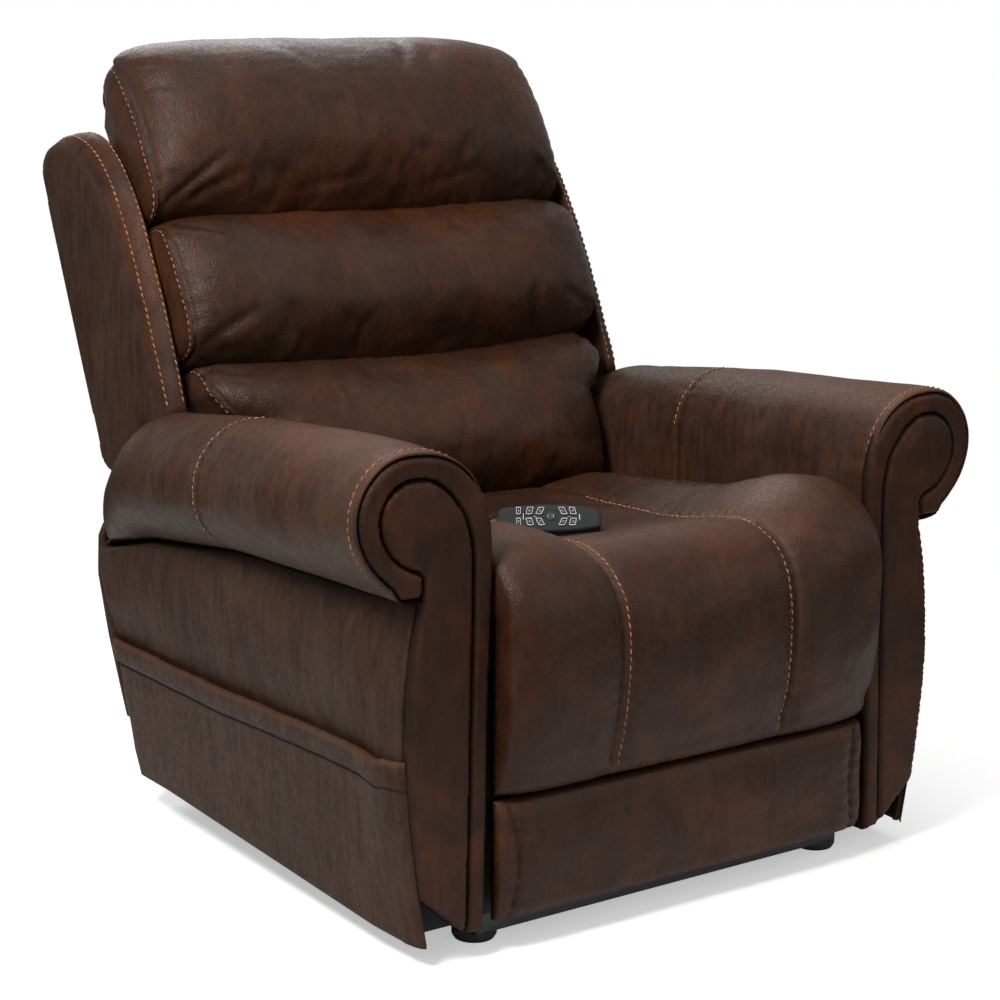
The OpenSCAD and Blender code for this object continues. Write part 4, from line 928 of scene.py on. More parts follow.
def puffed(points, faces, reach):  # swells a closed shape as stuffed cloth and returns its new points
    mesh = bpy.data.meshes.new("stuffing")
    mesh.from_pydata([tuple(p) for p in points], [], faces)
    dummy = bpy.data.objects.new("stuffing", mesh)
    bpy.context.scene.collection.objects.link(dummy)
    bpy.context.view_layer.objects.active = dummy
    remesh = dummy.modifiers.new("even", "REMESH")
    remesh.mode, remesh.voxel_size = "VOXEL", 0.0062
    bpy.ops.object.modifier_apply(modifier="even")
    start = np.empty(len(mesh.vertices) * 3)
    dummy.data.vertices.foreach_get("co", start)
    start = start.reshape(-1, 3)
    cloth = dummy.modifiers.new("stuffed", "CLOTH")
    cloth.settings.use_pressure = True
    cloth.settings.uniform_pressure_force = 4.0
    cloth.settings.effector_weights.gravity = 0.0
    cloth.settings.shrink_min = -0.035
    cloth.settings.quality = 5
    cloth.point_cache.frame_start, cloth.point_cache.frame_end = 1, 20
    for step in range(1, 21):
        bpy.context.scene.frame_set(step)
    made = dummy.evaluated_get(bpy.context.evaluated_depsgraph_get())
    end = np.empty(len(start) * 3)
    made.data.vertices.foreach_get("co", end)
    move = end.reshape(-1, 3) - start
    size = np.linalg.norm(move, axis=1, keepdims=True)
    move *= np.minimum(1, reach / np.maximum(size, 1e-9))
    polygons = [tuple(p.vertices) for p in dummy.data.polygons]
    tree = BVHTree.FromPolygons([Vector(p) for p in start], polygons)
    result = np.array(points, float)
    for k, p in enumerate(result):
        spot, normal, face, gap = tree.find_nearest(Vector(p))
        corners = polygons[face]
        weight = np.array([1 / (1e-5 + (Vector(start[c]) - spot).length) for c in corners])
        result[k] = p + (move[list(corners)] * weight[:, None]).sum(axis=0) / weight.sum()
    bpy.context.scene.frame_set(1)
    bpy.data.objects.remove(dummy)
    return result


def backCushion(name, made):
    # rows hold outer height and depth in the middle, the same at the end seams, and the same at the rear
    rows = alongRows(made["rows"], made["count"])
    half, seam = made["half"], made["seam"]
    acrossFront = np.linspace(-1, 1, 131)
    acrossFront = np.sign(acrossFront) * (1 - (1 - np.abs(acrossFront)) ** 1.12)
    gusset = [(0.0, 0.0), (0.05, 0.0062), (0.12, 0.0118), (0.2, 0.0158), (0.3, 0.0185), (0.42, 0.0192),
              (0.54, 0.0180), (0.66, 0.0150), (0.78, 0.0095), (0.89, 0.0015), (1.0, -0.0100)]
    grid, inner, ends = [], [], []
    for i, (v, w, ve, we, vi, wi) in enumerate(rows):
        width = half if np.ndim(half) == 0 else float(np.interp(i / (len(rows) - 1), half[0], half[1]))
        seamX = width - seam
        tuck = made.get("rearTuck", 0.0) * float(ease(vi, 0.735, 0.752))
        gussetLine = [(seamX + out - tuck * g * g, ve + (vi - ve) * g, we + (wi - we) * g) for g, out in gusset]
        line = [(-x, y, z) for x, y, z in gussetLine[::-1]]
        for s in acrossFront:
            e = max(0.0, 1 - abs(s) ** made["power"]) ** made["round"]
            sag = made["sag"] * (1 - s * s) * made["sagAt"](v)
            line.append((seamX * s, ve + (v - ve) * e - sag, we + (w - we) * e))
        line += gussetLine
        reach = seamX - 0.010 - tuck
        n = len(line)
        grid.append(line)
        inner.append([(reach * (2 * k / (n - 1) - 1), vi, wi - 0.0004) for k in range(n)])
        offSeam = [-1] * len(gusset)
        ends.append(offSeam + [seamX * (1 - abs(s)) for s in acrossFront] + offSeam)
    grid, inner, ends = np.array(grid), np.array(inner), np.array(ends)
    outer = fromBack(*np.moveaxis(grid, 2, 0))
    rear = fromBack(*np.moveaxis(inner, 2, 0))
    points, faces = slabShape(outer, rear)
    m, n = outer.shape[:2]
    if made.get("swell"):
        plain = points.copy()
        points = puffed(points, faces, made["swell"])
        points[m * n:] = plain[m * n:]  # the rear stays on its board
        stay = np.ones((m, n))
        stay[:, :10] = stay[:, -10:] = 0.35
        stay[:, :3] = stay[:, -3:] = 0.0
        stay *= (ease(np.arange(m), 0, 7) * ease(m - 1 - np.arange(m), 0, 7))[:, None]
        move = (points[:m * n] - plain[:m * n]).reshape(m, n, 3)
        outer = outer + move * stay[:, :, None]
    normals = normalsOf(outer)
    forward = np.array([0, -math.cos(lean), math.sin(lean)])
    if (normals[m // 2, n // 2] @ forward) < 0:
        normals = -normals
    rowAt = np.arange(m) / (m - 1)
    free = ease(rowAt, 0.06, 0.2) * ease(1 - rowAt, made.get("topFree", 0.05), 0.2)
    inFront = ends >= 0
    v, w, x = grid[:, :, 1], grid[:, :, 2], grid[:, :, 0]
    wide = np.where(inFront, ends, 0.0)
    ripple = np.sin((v * 2 * math.pi / 0.021) + 2.2 * soft(outer, (0.05, 0.05, 0.05), made["seed"]))
    gather = 0.0005 * ripple * np.exp(-wide / 0.026) * inFront
    broad = 0.0030 * soft(outer, (0.13, 0.12, 0.075), made["seed"] + 3) + 0.0013 * soft(
        outer, (0.05, 0.05, 0.03), made["seed"] + 7)
    fine = 0.0004 * soft(outer, (0.016, 0.016, 0.010), made["seed"] + 9)
    shift = free[:, None] * (broad + fine) + gather * ease(rowAt, 0.02, 0.08)[:, None]
    groove = np.zeros((m, n))
    for fx, fv, tx, tv, deep, thick in made["folds"]:  # pulled folds, each a line with a depth and a width
        a, b = np.array((fx, fv)), np.array((tx, tv))
        p = np.stack([x, v], axis=-1) - a
        run = b - a
        t = np.clip((p @ run) / (run @ run), 0, 1)
        away = p - t[..., None] * run
        side = (away[..., 0] * run[1] - away[..., 1] * run[0]) / np.linalg.norm(run)
        fade = np.sin(np.pi * np.clip(t * 0.9 + 0.1, 0, 1)) ** 0.5 * (np.linalg.norm(away, axis=-1) < thick * 5)
        cut = np.exp(-(side / thick) ** 2) * fade
        bulge = np.exp(-((side - 2.1 * thick) / thick) ** 2) * fade
        shift = shift - deep * cut * inFront + deep * 0.22 * bulge * inFront
        groove = np.maximum(groove, cut * inFront * min(1, deep / 0.006))
    outer = outer + normals * shift[:, :, None]
    seamCut = dip(wide, 0.0, 0.0016) * inFront
    outer = outer - normals * (0.0013 * seamCut)[:, :, None]
    points = np.concatenate([outer.reshape(-1, 3), rear.reshape(-1, 3)])
    piece = addMesh(name, points, faces, hideSmooth, made["body"])
    # painted shade on the bottom rows, and on the top rows where topDark is set, where the cushions meet;
    # painted shade also in the seams and pulled folds
    dark = 0.35 * (1 - ease(rowAt, 0.0, 0.10)) + 0.3 * (1 - ease(1 - rowAt, 0.0, 0.06)) * made["topDark"]
    paintSkin(piece, "fold", np.clip(seamCut * 0.8 + groove * 0.7 + dark[:, None], 0, 1))
    # lighter beside the seams and on the forward crown: rub wear and painted highlight
    crest = 0.20 * dip(wide, 0.004, 0.004) * inFront
    crest = crest + 0.25 * ease(w, made["crestFrom"], made["crestFrom"] + .03)
    paintSkin(piece, "crest", crest)
    addHost(name, points, faces)
    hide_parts(*made["nodes"])
    first = len(gusset)
    for side, column in (("Right", first - 2), ("Left", n - first + 1)):
        line = outer[made["stitchFrom"]:m - made["stitchTo"], column]
        stitchRow(name + "Stitches" + side, name, evenly(line, 0.003), made["body"])
    return piece


headMade = dict(  # head cushion: rows from the tuft round the front and over the top
    rows=[(.597, .060, .588, .060, .588, .0455), (.592, .110, .585, .105, .588, .0455),
          (.589, .155, .583, .148, .588, .0455), (.592, .184, .592, .164, .593, .0455),
          (.606, .206, .607, .172, .600, .0455), (.632, .222, .632, .176, .622, .0455),
          (.668, .231, .668, .173, .650, .0455), (.710, .233, .708, .165, .680, .0455),
          (.752, .2285, .745, .155, .705, .0455), (.786, .217, .774, .147, .725, .0455),
          (.810, .200, .797, .139, .737, .0455), (.827, .177, .812, .129, .744, .0455),
          (.838, .148, .821, .115, .749, .041), (.8415, .115, .823, .095, .753, .030),
          (.838, .080, .818, .070, .754, .018), (.826, .045, .807, .044, .754, .006),
          (.807, .014, .789, .020, .7535, -.004), (.786, -.006, .772, .000, .753, -.009),
          (.768, -.014, .760, -.008, .7525, -.0105)],
    count=112, half=([0, .68, .78, .88, 1], [.3535, .3535, .343, .318, .296]), seam=0.0195, rearTuck=0.030,
    sag=0.0225, sagAt=lambda v: float(1 - ease(v, 0.595, 0.70)), seed=2.0, body="headrest",
    power=3.8, round=0.5, nodes=("head_cushion",), fill=0.85,
    topDark=0.0, topFree=0.0, crestFrom=0.222, swell=0.022,
    stitchFrom=16, stitchTo=34,
    # pulled folds: across and height of both ends, depth, width
    folds=[(-.328, .592, -.240, .646, .0066, .0060), (-.322, .586, -.215, .618, .0032, .0060),
           (.325, .592, .262, .632, .0040, .006), (-.12, .590, -.02, .602, .0022, .006),
           (.10, .592, .18, .608, .0022, .006), (-.325, .80, -.27, .775, .0024, .006),
           (-.325, .76, -.285, .745, .0018, .005), (.325, .79, .285, .77, .0020, .005)])
middleMade = dict(
    rows=[(.379, .060, .379, .060, .379, .0455), (.374, .115, .378, .110, .379, .0455),
          (.371, .160, .377, .156, .379, .0455), (.374, .190, .381, .176, .384, .0455),
          (.387, .214, .392, .188, .392, .0455), (.411, .230, .413, .193, .411, .0455),
          (.445, .2375, .445, .193, .443, .0455), (.488, .2365, .482, .191, .480, .0455),
          (.526, .2285, .515, .187, .512, .0455), (.554, .214, .540, .180, .534, .0455),
          (.570, .192, .555, .169, .548, .0455), (.577, .162, .562, .148, .556, .0455),
          (.578, .115, .564, .105, .558, .0455), (.576, .060, .563, .060, .558, .0455)],
    count=92, half=0.3535, seam=0.0195, power=3.8, round=0.5, sag=0.0365,
    sagAt=lambda v: float(1 - ease(v, 0.38, 0.47) + 0.62 * ease(v, 0.50, 0.575)), seed=12.0, body="back",
    nodes=("middle_cushion",), fill=0.8, topDark=1.0, crestFrom=0.226, swell=0.022, stitchFrom=12, stitchTo=12,
    folds=[(-.326, .558, -.262, .530, .0034, .0055), (-.328, .543, -.278, .518, .0022, .0050),
           (.324, .558, .27, .532, .0028, .0055), (-.322, .384, -.245, .418, .0046, .0065),
           (.322, .384, .255, .414, .0036, .006), (.02, .345, .10, .356, .0022, .006),
           (-.318, .465, -.285, .458, .0014, .0045)])
lumbarMade = dict(
    rows=[(.140, .060, .140, .060, .140, .0455), (.128, .120, .130, .115, .138, .0455),
          (.120, .175, .124, .160, .136, .0455), (.124, .205, .128, .178, .138, .0455),
          (.144, .227, .146, .188, .150, .0455), (.185, .242, .186, .193, .185, .0455),
          (.235, .2465, .235, .193, .235, .0455), (.288, .240, .283, .189, .279, .0455),
          (.319, .2275, .313, .183, .303, .0455), (.342, .210, .335, .175, .325, .0455),
          (.356, .188, .350, .162, .341, .0455), (.3625, .160, .358, .144, .350, .0455),
          (.3635, .115, .360, .105, .3525, .0455), (.3615, .060, .359, .060, .3525, .0455)],
    count=92, half=([0, 0.55, 0.61, 0.67, 1], [0.2935, 0.2940, 0.324, 0.339, 0.341]), seam=0.0185, power=3.8,
    round=0.5,
    sag=0.0365, sagAt=lambda v: float(ease(v, 0.27, 0.357)), seed=22.0, body="lumbar",
    nodes=("lumbar_cushion",),
    fill=0.8, topDark=1.0, crestFrom=0.232, swell=0.022, stitchFrom=20, stitchTo=12,
    folds=[(-.318, .350, -.262, .326, .0026, .0050), (-.312, .334, -.270, .310, .0018, .005),
           (.312, .350, .26, .326, .0032, .0055), (-.275, .25, -.235, .243, .0014, .005)])
backCushion("headCushion", headMade)
backCushion("middleCushion", middleMade)
backCushion("lumbarCushion", lumbarMade)
print("stage: back cushions ready")

# wings, boxed pads with a crowned band between two faces
wingFace = np.array([  # height and depth along the front, over the top and down the rear of the outer face
    (.289, .137), (.306, .139), (.370, .138), (.454, .137), (.522, .134), (.583, .126), (.630, .119),
    (.678, .098), (.716, .066), (.741, .028), (.751, -.010), (.748, -.038), (.732, -.053), (.690, -.0585),
    (.60, -.060), (.50, -.060), (.40, -.0595), (.33, -.058), (.284, -.056), (.270, -.040), (.2735, .03),
    (.2795, .09), (.284, .125)])
wingBack = np.array([
    (.293, .160), (.306, .162), (.370, .166), (.454, .167), (.522, .163), (.583, .158), (.630, .147),
    (.680, .126), (.717, .098), (.742, .052), (.752, .002), (.750, -.030), (.733, -.046), (.690, -.0545),
    (.60, -.056), (.50, -.056), (.40, -.0555), (.33, -.054), (.287, -.051), (.274, -.036), (.2775, .03),
    (.283, .09), (.2875, .145)])
face = smoothLine(wingFace, 0.0045, closed=True)
matched = smoothLine(wingBack, 0.0045, closed=True)
run = lengthsOf(matched)
matched = np.stack([np.interp(np.linspace(0, run[-1], len(face)), run, matched[:, k]) for k in (0, 1)], axis=1)


def wingPlace(x, rise, dome):
    def place(flat, away):
        v, w = flat[:, 0], flat[:, 1]
        out = roundUp(away, 0.014, rise) + dome * ease(away, 0.0, 0.06)
        p = grids(x, v, w)
        waves = 0.0016 * soft(p, (1, 0.16, 0.05), 7.0) + 0.0006 * soft(p, (1, 0.07, 0.014), 4.0)
        out = out + waves * ease(away, 0.004, 0.03)
        return fromBack(x + out, v, w)
    return place


wingFacts = dict(outerX=0.3935, innerX=0.3615, backX=0.3605, spacing=0.0055, steps=15)


def bridge(first, second):  # faces between two closed loops of point numbers
    n = len(first)
    return [(first[k], first[(k + 1) % n], second[(k + 1) % n], second[k]) for k in range(n)]


def wingShape():
    flat, faces, away = flatPanel(face, wingFacts["spacing"])
    rim = evenly(np.vstack([face, face[:1]]), wingFacts["spacing"], ends=False)
    count = len(rim)
    skin = wingPlace(wingFacts["outerX"], 0.0050, 0.0035)(flat, away)
    span = lengthsOf(np.vstack([matched, matched[:1]]))
    whole = lengthsOf(np.vstack([face, face[:1]]))
    at = np.linspace(0, whole[-1], count + 1)[:-1]
    loop = np.vstack([matched, matched[:1]])
    part = np.interp(at, whole, np.linspace(0, 1, len(whole)))
    other = np.stack([np.interp(part, np.linspace(0, 1, len(span)), loop[:, k]) for k in (0, 1)], axis=1)
    tangent = np.roll(rim, -1, axis=0) - np.roll(rim, 1, axis=0)
    outward = np.stack([tangent[:, 1], -tangent[:, 0]], axis=1)
    outward /= np.linalg.norm(outward, axis=1, keepdims=True)
    middle = rim.mean(axis=0)
    if ((rim - middle) * outward).sum() < 0:
        outward = -outward
    points, faces = list(skin), list(faces)
    steps = wingFacts["steps"]
    previous = list(range(count))
    bandRows = []
    puff = ease(rim[:, 1], -0.03, 0.05) * ease(rim[:, 0], 0.288, 0.30)
    for j in range(1, steps + 1):
        t = j / steps
        crown = 0.0016 + 0.0075 * math.sin(math.pi * min(1, t)) ** 0.62
        flatPart = rim + (other - rim) * t + outward * (crown * (0.25 + 0.75 * puff))[:, None]
        if j == steps:
            flatPart = other
        x = wingFacts["outerX"] - (wingFacts["outerX"] - wingFacts["innerX"]) * t
        if j == 1:
            x, flatPart = 0.3928, rim + outward * 0.0004
        row = fromBack(np.full(count, x), flatPart[:, 0], flatPart[:, 1])
        wave = 0.0007 * soft(row, (0.03, 0.03, 0.03), 15.0)
        row[:, 0] += wave * (0 < j < steps)
        start = len(points)
        points += list(row)
        bandRows.append(start)
        ids = list(range(start, start + count))
        faces += bridge(previous, ids)
        previous = ids
    start = len(points)
    inside = fromBack(np.full(count, wingFacts["backX"]), other[:, 0] * 0.985 + 0.0075, other[:, 1] * 0.97)
    points += [tuple(p) for p in inside]
    ids = list(range(start, start + count))
    faces += bridge(previous, ids)
    loopPoints = [Vector((p[1], p[2])) for p in np.array(points)[ids]]
    loopEdges = [(k, (k + 1) % count) for k in range(count)]
    found = geometry.delaunay_2d_cdt(loopPoints, loopEdges, [], 1, 1e-7)
    faces += [tuple(ids[k] for k in f) for f in found[2] if max(f) < count]
    points = np.array([tuple(p) for p in points])
    fold = np.zeros(len(points))  # painted shade in both seams of the band
    fold[:count] = 0.85
    fold[bandRows[0]:bandRows[0] + count] = 0.55
    fold[bandRows[-1]:bandRows[-1] + count] = 0.7
    return points, faces, fold, rim, bandRows, count


wingPoints, wingFaces, wingFold, wingRim, wingBands, wingCount = wingShape()


def consistent(points, faces):  # turns faces so that all point outward
    made = bmesh.new()
    corners = [made.verts.new(tuple(p)) for p in points]
    for f in faces:
        try:
            made.faces.new([corners[k] for k in f])
        except ValueError:
            pass
    bmesh.ops.recalc_face_normals(made, faces=made.faces)
    made.verts.index_update()
    result = [tuple(v.index for v in f.verts) for f in made.faces]
    made.free()
    return facingOut(points, result)


wingFaces = consistent(wingPoints, wingFaces)
for side, name in ((1, "Left"), (-1, "Right")):
    points, faces = mirrored((wingPoints, wingFaces), side)
    wing = addMesh("wing" + name, points, faces, hideNap, "back")
    paintPoints(wing, "fold", wingFold)
    wing.data.materials.append(hideFront)
    wing.data.polygons.foreach_set("material_index", [int(max(f) >= wingBands[0]) for f in faces])
    addHost("wing" + name, points, faces)
    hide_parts("wing_" + name.lower())
    rows = {"Outer": (wingBands[3], 0.00115), "Inner": (wingBands[12], 0.00095)}
    for label, (row, thick) in rows.items():
        line = points[row:row + wingCount]
        take = (wingRim[:, 1] > -0.02) & (wingRim[:, 0] > 0.296)
        keep = np.where(take)[0]
        gap = np.where(np.diff(keep) > 1)[0]
        if len(gap):
            keep = np.concatenate([keep[gap[0] + 1:], keep[:gap[0] + 1]])
        line = line[keep]
        stitchRow("wing" + label + "Stitches" + name, "wing" + name, evenly(line, 0.003), "back", radius=thick)

# rear cover of the back, with a hem and two vertical seams
backCover = dict(seams=(-0.17, 0.17), top=0.748, bottom=0.108, upperHalf=0.3575, lowerHalf=0.2945)
levels = [.747, .744, .738, .728] + list(np.linspace(.715, .13, 110)) + [.122, .116, .112, .110]
wides = np.concatenate([np.linspace(1, .93, 6), np.linspace(.92, -.92, 96), np.linspace(-.93, -1, 6)])
grid, flat = [], []
for v in levels:
    narrow = float(1 - ease(v, 0.285, 0.305))
    half = backCover["upperHalf"] + (backCover["lowerHalf"] - backCover["upperHalf"]) * narrow
    end = min(1, 0.3 + (backCover["top"] - v) / 0.016, 0.3 + (v - backCover["bottom"]) / 0.016)
    row, low = [], []
    for s in wides:
        x = half * s
        full = (1 - abs(s) ** 14) ** 0.5
        deep = 0.0235 + (0.005 + 0.0125 * full) * end
        for seam in backCover["seams"]:
            deep -= 0.0028 * float(dip(x, seam, 0.0028)) + 0.0012 * float(dip(x, seam, 0.016))
        deep += 0.0022 * noise.noise(Vector((x * 9, v * 5, 3))) * full * end
        deep += 0.0030 * math.sin(math.pi * min(1, max(0, (v - 0.12) / 0.62))) * full
        row.append((x, v, -deep))
        low.append((x, v, -0.0125))
    grid.append(row)
    flat.append(low)
grid, flat = np.array(grid), np.array(flat)
points, faces = slabShape(fromBack(*np.moveaxis(grid, 2, 0)), fromBack(*np.moveaxis(flat, 2, 0)))
cover = addMesh("backCover", points, faces, hideNap, "back")
# painted shade in the two seam grooves
seamDark = sum(dip(grid[..., 0], seam, 0.0022) for seam in backCover["seams"])
paintSkin(cover, "fold", seamDark)
addHost("backCover", points, faces)
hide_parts("back_panel")
for k, seam in enumerate(backCover["seams"]):
    line = fromBack(np.full(2, seam + math.copysign(0.006, seam)), np.array([.735, .13]), -.05)
    stitchRow("backCoverStitches%d" % (k + 1), "backCover", evenly(line, 0.004), "back")
print("stage: wings and rear cover ready")

# seat and leg rest in one run of cover, from the rear of the seat over the nose to the pad's hem
seatMade = dict(half=0.2948, seam=0.138, stitch=0.1292, reach=0.030)
seatRows = np.array([  # outer depth and height, rise of the sides, inner depth and height
    (.046, .398, .002, .044, .366), (.0445, .420, .006, .040, .371),
    (.034, .436, .010, .028, .380), (-.010, .4435, .0135, -.010, .388),
    (-.090, .4465, .018, -.090, .392), (-.190, .4495, .0225, -.190, .395),
    (-.280, .4550, .030, -.280, .400), (-.345, .4640, .038, -.345, .406),
    (-.400, .4735, .0405, -.398, .411), (-.436, .4745, .0375, -.424, .412),
    (-.467, .4660, .031, -.442, .409), (-.494, .4490, .022, -.456, .403),
    (-.5125, .4260, .013, -.464, .397), (-.5215, .4000, .006, -.4672, .388),
    (-.5255, .3700, .001, -.4678, .368), (-.5260, .3350, .000, -.4678, .335),
    (-.5225, .2950, .000, -.4678, .296), (-.5160, .2580, .000, -.4678, .259),
    (-.5085, .2270, .000, -.4678, .229), (-.5005, .2085, .000, -.4678, .2105),
    (-.4920, .1995, .000, -.4678, .2010), (-.4830, .1960, .000, -.4678, .1980),
    (-.4740, .1955, .000, -.4678, .1968)])
rows = alongRows(seatRows[:, [0, 1, 3, 4, 2]], 236)
rows = rows[:, [0, 1, 4, 2, 3]]
across = np.linspace(-1, 1, 141)
across = np.sign(across) * (1 - (1 - np.abs(across)) ** 1.25)
wide = across * seatMade["half"]
outward = np.stack([-np.gradient(rows[:, 1]), np.gradient(rows[:, 0])], axis=1)
outward /= np.linalg.norm(outward, axis=1, keepdims=True)
flip = ((rows[:, :2] - (-0.25, 0.30)) * outward).sum(axis=1) < 0
outward[flip] *= -1
a = np.abs(wide)
sideRise = ease(a, 0.125, 0.235) * np.where(wide < 0, 0.80, 1.0)
rowAt = np.arange(len(rows)) / (len(rows) - 1)
front = ease(-rows[:, 0], 0.33, 0.47)
edgeRound = (1 - np.abs(across) ** 9) ** 0.46
room = np.linalg.norm(rows[:, :2] - rows[:, 3:5], axis=1)
reach = np.minimum(seatMade["reach"] - 0.008 * front, 0.6 * room)
outside = np.clip((a - seatMade["seam"]) / (seatMade["half"] + 0.02 - seatMade["seam"]), 0, 1)
between = np.where(a < seatMade["seam"],  # the fill between the seams, and from a seam to the side
                   0.0050 * np.abs(np.cos(math.pi * a / (2 * seatMade["seam"]))) ** 0.6,
                   0.0062 * np.sin(math.pi * outside) ** 0.6)
seamDip = 0.0042 * dip(a, seatMade["seam"], 0.0030) + 0.0046 * dip(a, seatMade["seam"], 0.015)
seamShare = 0.45 + 0.55 * front
endShare = ease(rowAt, 0.0, 0.05) * ease(1 - rowAt, 0.0, 0.06)
rise = (rows[:, 2:3] * sideRise[None, :] + (0.35 + 0.65 * front)[:, None] * between[None, :] * endShare[:, None]
        - seamDip[None, :] * (seamShare * endShare)[:, None] - reach[:, None] * (1 - edgeRound)[None, :])
y = rows[:, 0:1] + outward[:, 0:1] * rise
z = rows[:, 1:2] + outward[:, 1:2] * rise
skin = grids(wide, y, z)
lengthOn = lengthsOf(rows[:, :2])
near = np.minimum(np.abs(a - seatMade["seam"]), 1)
ripple = np.sin(lengthOn[:, None] * 2 * math.pi / 0.019 + 2.5 * soft(skin, (0.05, 0.05, 0.05), 3.0))
shift = 0.0007 * ripple * np.exp(-near / 0.013)[None, :]
shift = shift + 0.0030 * soft(skin, (0.12, 0.10, 0.10), 41.0) + 0.0012 * soft(skin, (0.045, 0.045, 0.03), 5.0)
shift = shift + 0.0004 * soft(skin, (0.015, 0.015, 0.012), 6.0)
shift *= (endShare[:, None] * ease(1 - np.abs(across), 0.0, 0.05)[None, :])
nose = dip(lengthOn[:, None], 0.575, 0.05)
shift = shift - 0.0016 * nose * np.clip(soft(skin, (0.03, 0.2, 0.2), 19.0), 0, 1)
hemPull = 0.0035 * dip(1 - rowAt, 0.055, 0.018)[:, None] * (1 + 0.5 * soft(skin, (0.05, 1, 1), 9.0))
skin[..., 1] += outward[:, 0:1] * (shift - hemPull)
skin[..., 2] += outward[:, 1:2] * (shift - hemPull)
under = grids(across * (seatMade["half"] - 0.001), rows[:, 3:4], rows[:, 4:5])
points, faces = slabShape(skin, under)
seatCover = addMesh("seatCover", points, faces, hideSmooth, None)
# painted shade in the seam grooves, and darker towards the rear of the seat under the back
fold = dip(a, seatMade["seam"], 0.0019)[None, :] * (0.35 + 0.65 * seamShare)[:, None]
fold = fold * ease(rowAt, 0.02, 0.1)[:, None]
paintSkin(seatCover, "fold", np.clip(fold + 0.25 * (1 - ease(-rows[:, 0:1], 0.02, 0.24)), 0, 1))
# lighter along the nose and beside the seams: rub wear and painted highlight
crest = 0.75 * dip(lengthOn[:, None], 0.475, 0.075) * np.ones_like(fold)
paintSkin(seatCover, "crest", crest + 0.4 * dip(near, 0.006, 0.004)[None, :] * seamShare[:, None])
addHost("seatCover", points, faces)


def seatBend(piece):
    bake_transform(piece)


seatBend(seatCover)
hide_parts("seat_cushion", "legrest_pad")
for side, name in ((1, "Left"), (-1, "Right")):
    column = int(np.argmin(np.abs(wide - side * seatMade["stitch"])))
    line = skin[45:-7, column].copy()
    line[:, 0] = side * seatMade["stitch"]
    stitchRow("seatStitches" + name, "seatCover", evenly(line, 0.003), None, blend=seatBend)

# foam block under the cover, wrapped in black cloth
coreRows = np.array([(.040, .366), (.036, .300), (.028, .2712), (-.400, .2712), (-.414, .290), (-.420, .345),
                     (-.414, .398), (-.396, .409), (-.340, .404), (-.190, .393), (-.010, .386)])
coreRings = [grids(x, *(coreRows * (1 - inset) + coreRows.mean(axis=0) * inset).T)
             for x, inset in ((-.2925, .03), (-.2900, 0), (.2900, 0), (.2925, .03))]
seatCore = addMesh("seatCore", *loftShape(coreRings), liningCloth, "chair", smooth=False)

# lower foot panel
footRows = np.array([(-.4690, .1902, -.4679, .1900), (-.4800, .1908, -.4679, .1890),
                     (-.4880, .1885, -.4679, .1865), (-.4925, .1790, -.4679, .1780),
                     (-.4955, .1550, -.4679, .1550), (-.4970, .1250, -.4679, .1250),
                     (-.4968, .0950, -.4679, .0950), (-.4950, .0680, -.4679, .0680),
                     (-.4915, .0510, -.4679, .0520), (-.4850, .0435, -.4679, .0450),
                     (-.4700, .0422, -.4679, .0430)])
footMade = dict(half=0.2948, rear=-0.4679, rows=62, columns=130)
rows = alongRows(footRows, footMade["rows"])
acrossFoot = np.linspace(-1, 1, footMade["columns"])
acrossFoot = np.sign(acrossFoot) * (1 - (1 - np.abs(acrossFoot)) ** 1.3)
x = acrossFoot * footMade["half"]
foot = grids(x, rows[:, 0:1], rows[:, 1:2])
edge = (1 - np.abs(acrossFoot) ** 12) ** 0.4
middleZ = (rows[:, 1:2] - 0.115) / 0.07
curved = footMade["half"] - 0.0155 - 0.010 * (1 - middleZ ** 2)
offSeam = np.abs(np.abs(foot[..., 0]) - curved)
depth = foot[..., 1] - footMade["rear"]
foot[..., 1] = footMade["rear"] + depth * (0.45 + 0.55 * edge)[None, :]
show = ease(-depth, 0.008, 0.022)
foot[..., 1] += show * (0.0030 * dip(offSeam, 0, 0.0024) + 0.0020 * dip(offSeam, 0, 0.010))
foot[..., 1] -= show * (0.0024 * soft(foot, (0.10, 1, 0.05), 51.0) + 0.0009 * soft(foot, (0.035, 1, 0.02), 7.0))
foot[..., 1] -= show * 0.0011 * np.sin(foot[..., 2] * 2 * math.pi / 0.018) * np.exp(-offSeam / 0.012)
points, faces = slabShape(foot, grids(x * 0.997, rows[:, 2:3], rows[:, 3:4]))
footPanel = addMesh("footPanel", points, faces, hideSmooth, "legrest")
# painted shade in the seam groove; lighter along the rounded top edge: rub wear and painted highlight
paintSkin(footPanel, "fold", show * dip(offSeam, 0, 0.0017))
paintSkin(footPanel, "crest", 0.35 * ease(foot[..., 2], .165, .182))
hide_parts("foot_panel")
print("stage: seat and leg rest ready")

# rear valance, and the black cloth that closes the seat behind the leg rest; the cloth stands in for the shade
# under the seat (painted shade)
def valancePlace(flat, away):
    p = grids(flat[:, 0], 0.2325, flat[:, 1])
    p[:, 1] += roundUp(away, 0.012, 0.0035) + 0.0016 * soft(p, (0.12, 1, 0.06), 3.0) * ease(away, 0, 0.02)
    return p


valanceEdge = np.array([(-.3012, .0565), (.3012, .0565), (.3012, .2335), (-.3012, .2335)])
points, faces, away = paddedPanel(valanceEdge, 0.009, valancePlace, (0, -0.0085, 0))
valance = addMesh("rearValance", points, faces, hideNap, "chair")
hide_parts("rear_valance")

curtainX, curtainZ = np.linspace(-.3012, .3012, 60), np.linspace(.040, .290, 12)[:, None]
hang = 0.0018 * np.sin(np.linspace(0, 40, 60))[None, :] * np.linspace(0, 1, 12)[::-1][:, None]
curtainSides = [grids(curtainX, y + hang, curtainZ) for y in (-.4490, -.4478)]
addMesh("dustCurtain", *slabShape(*curtainSides), liningCloth, "chair")

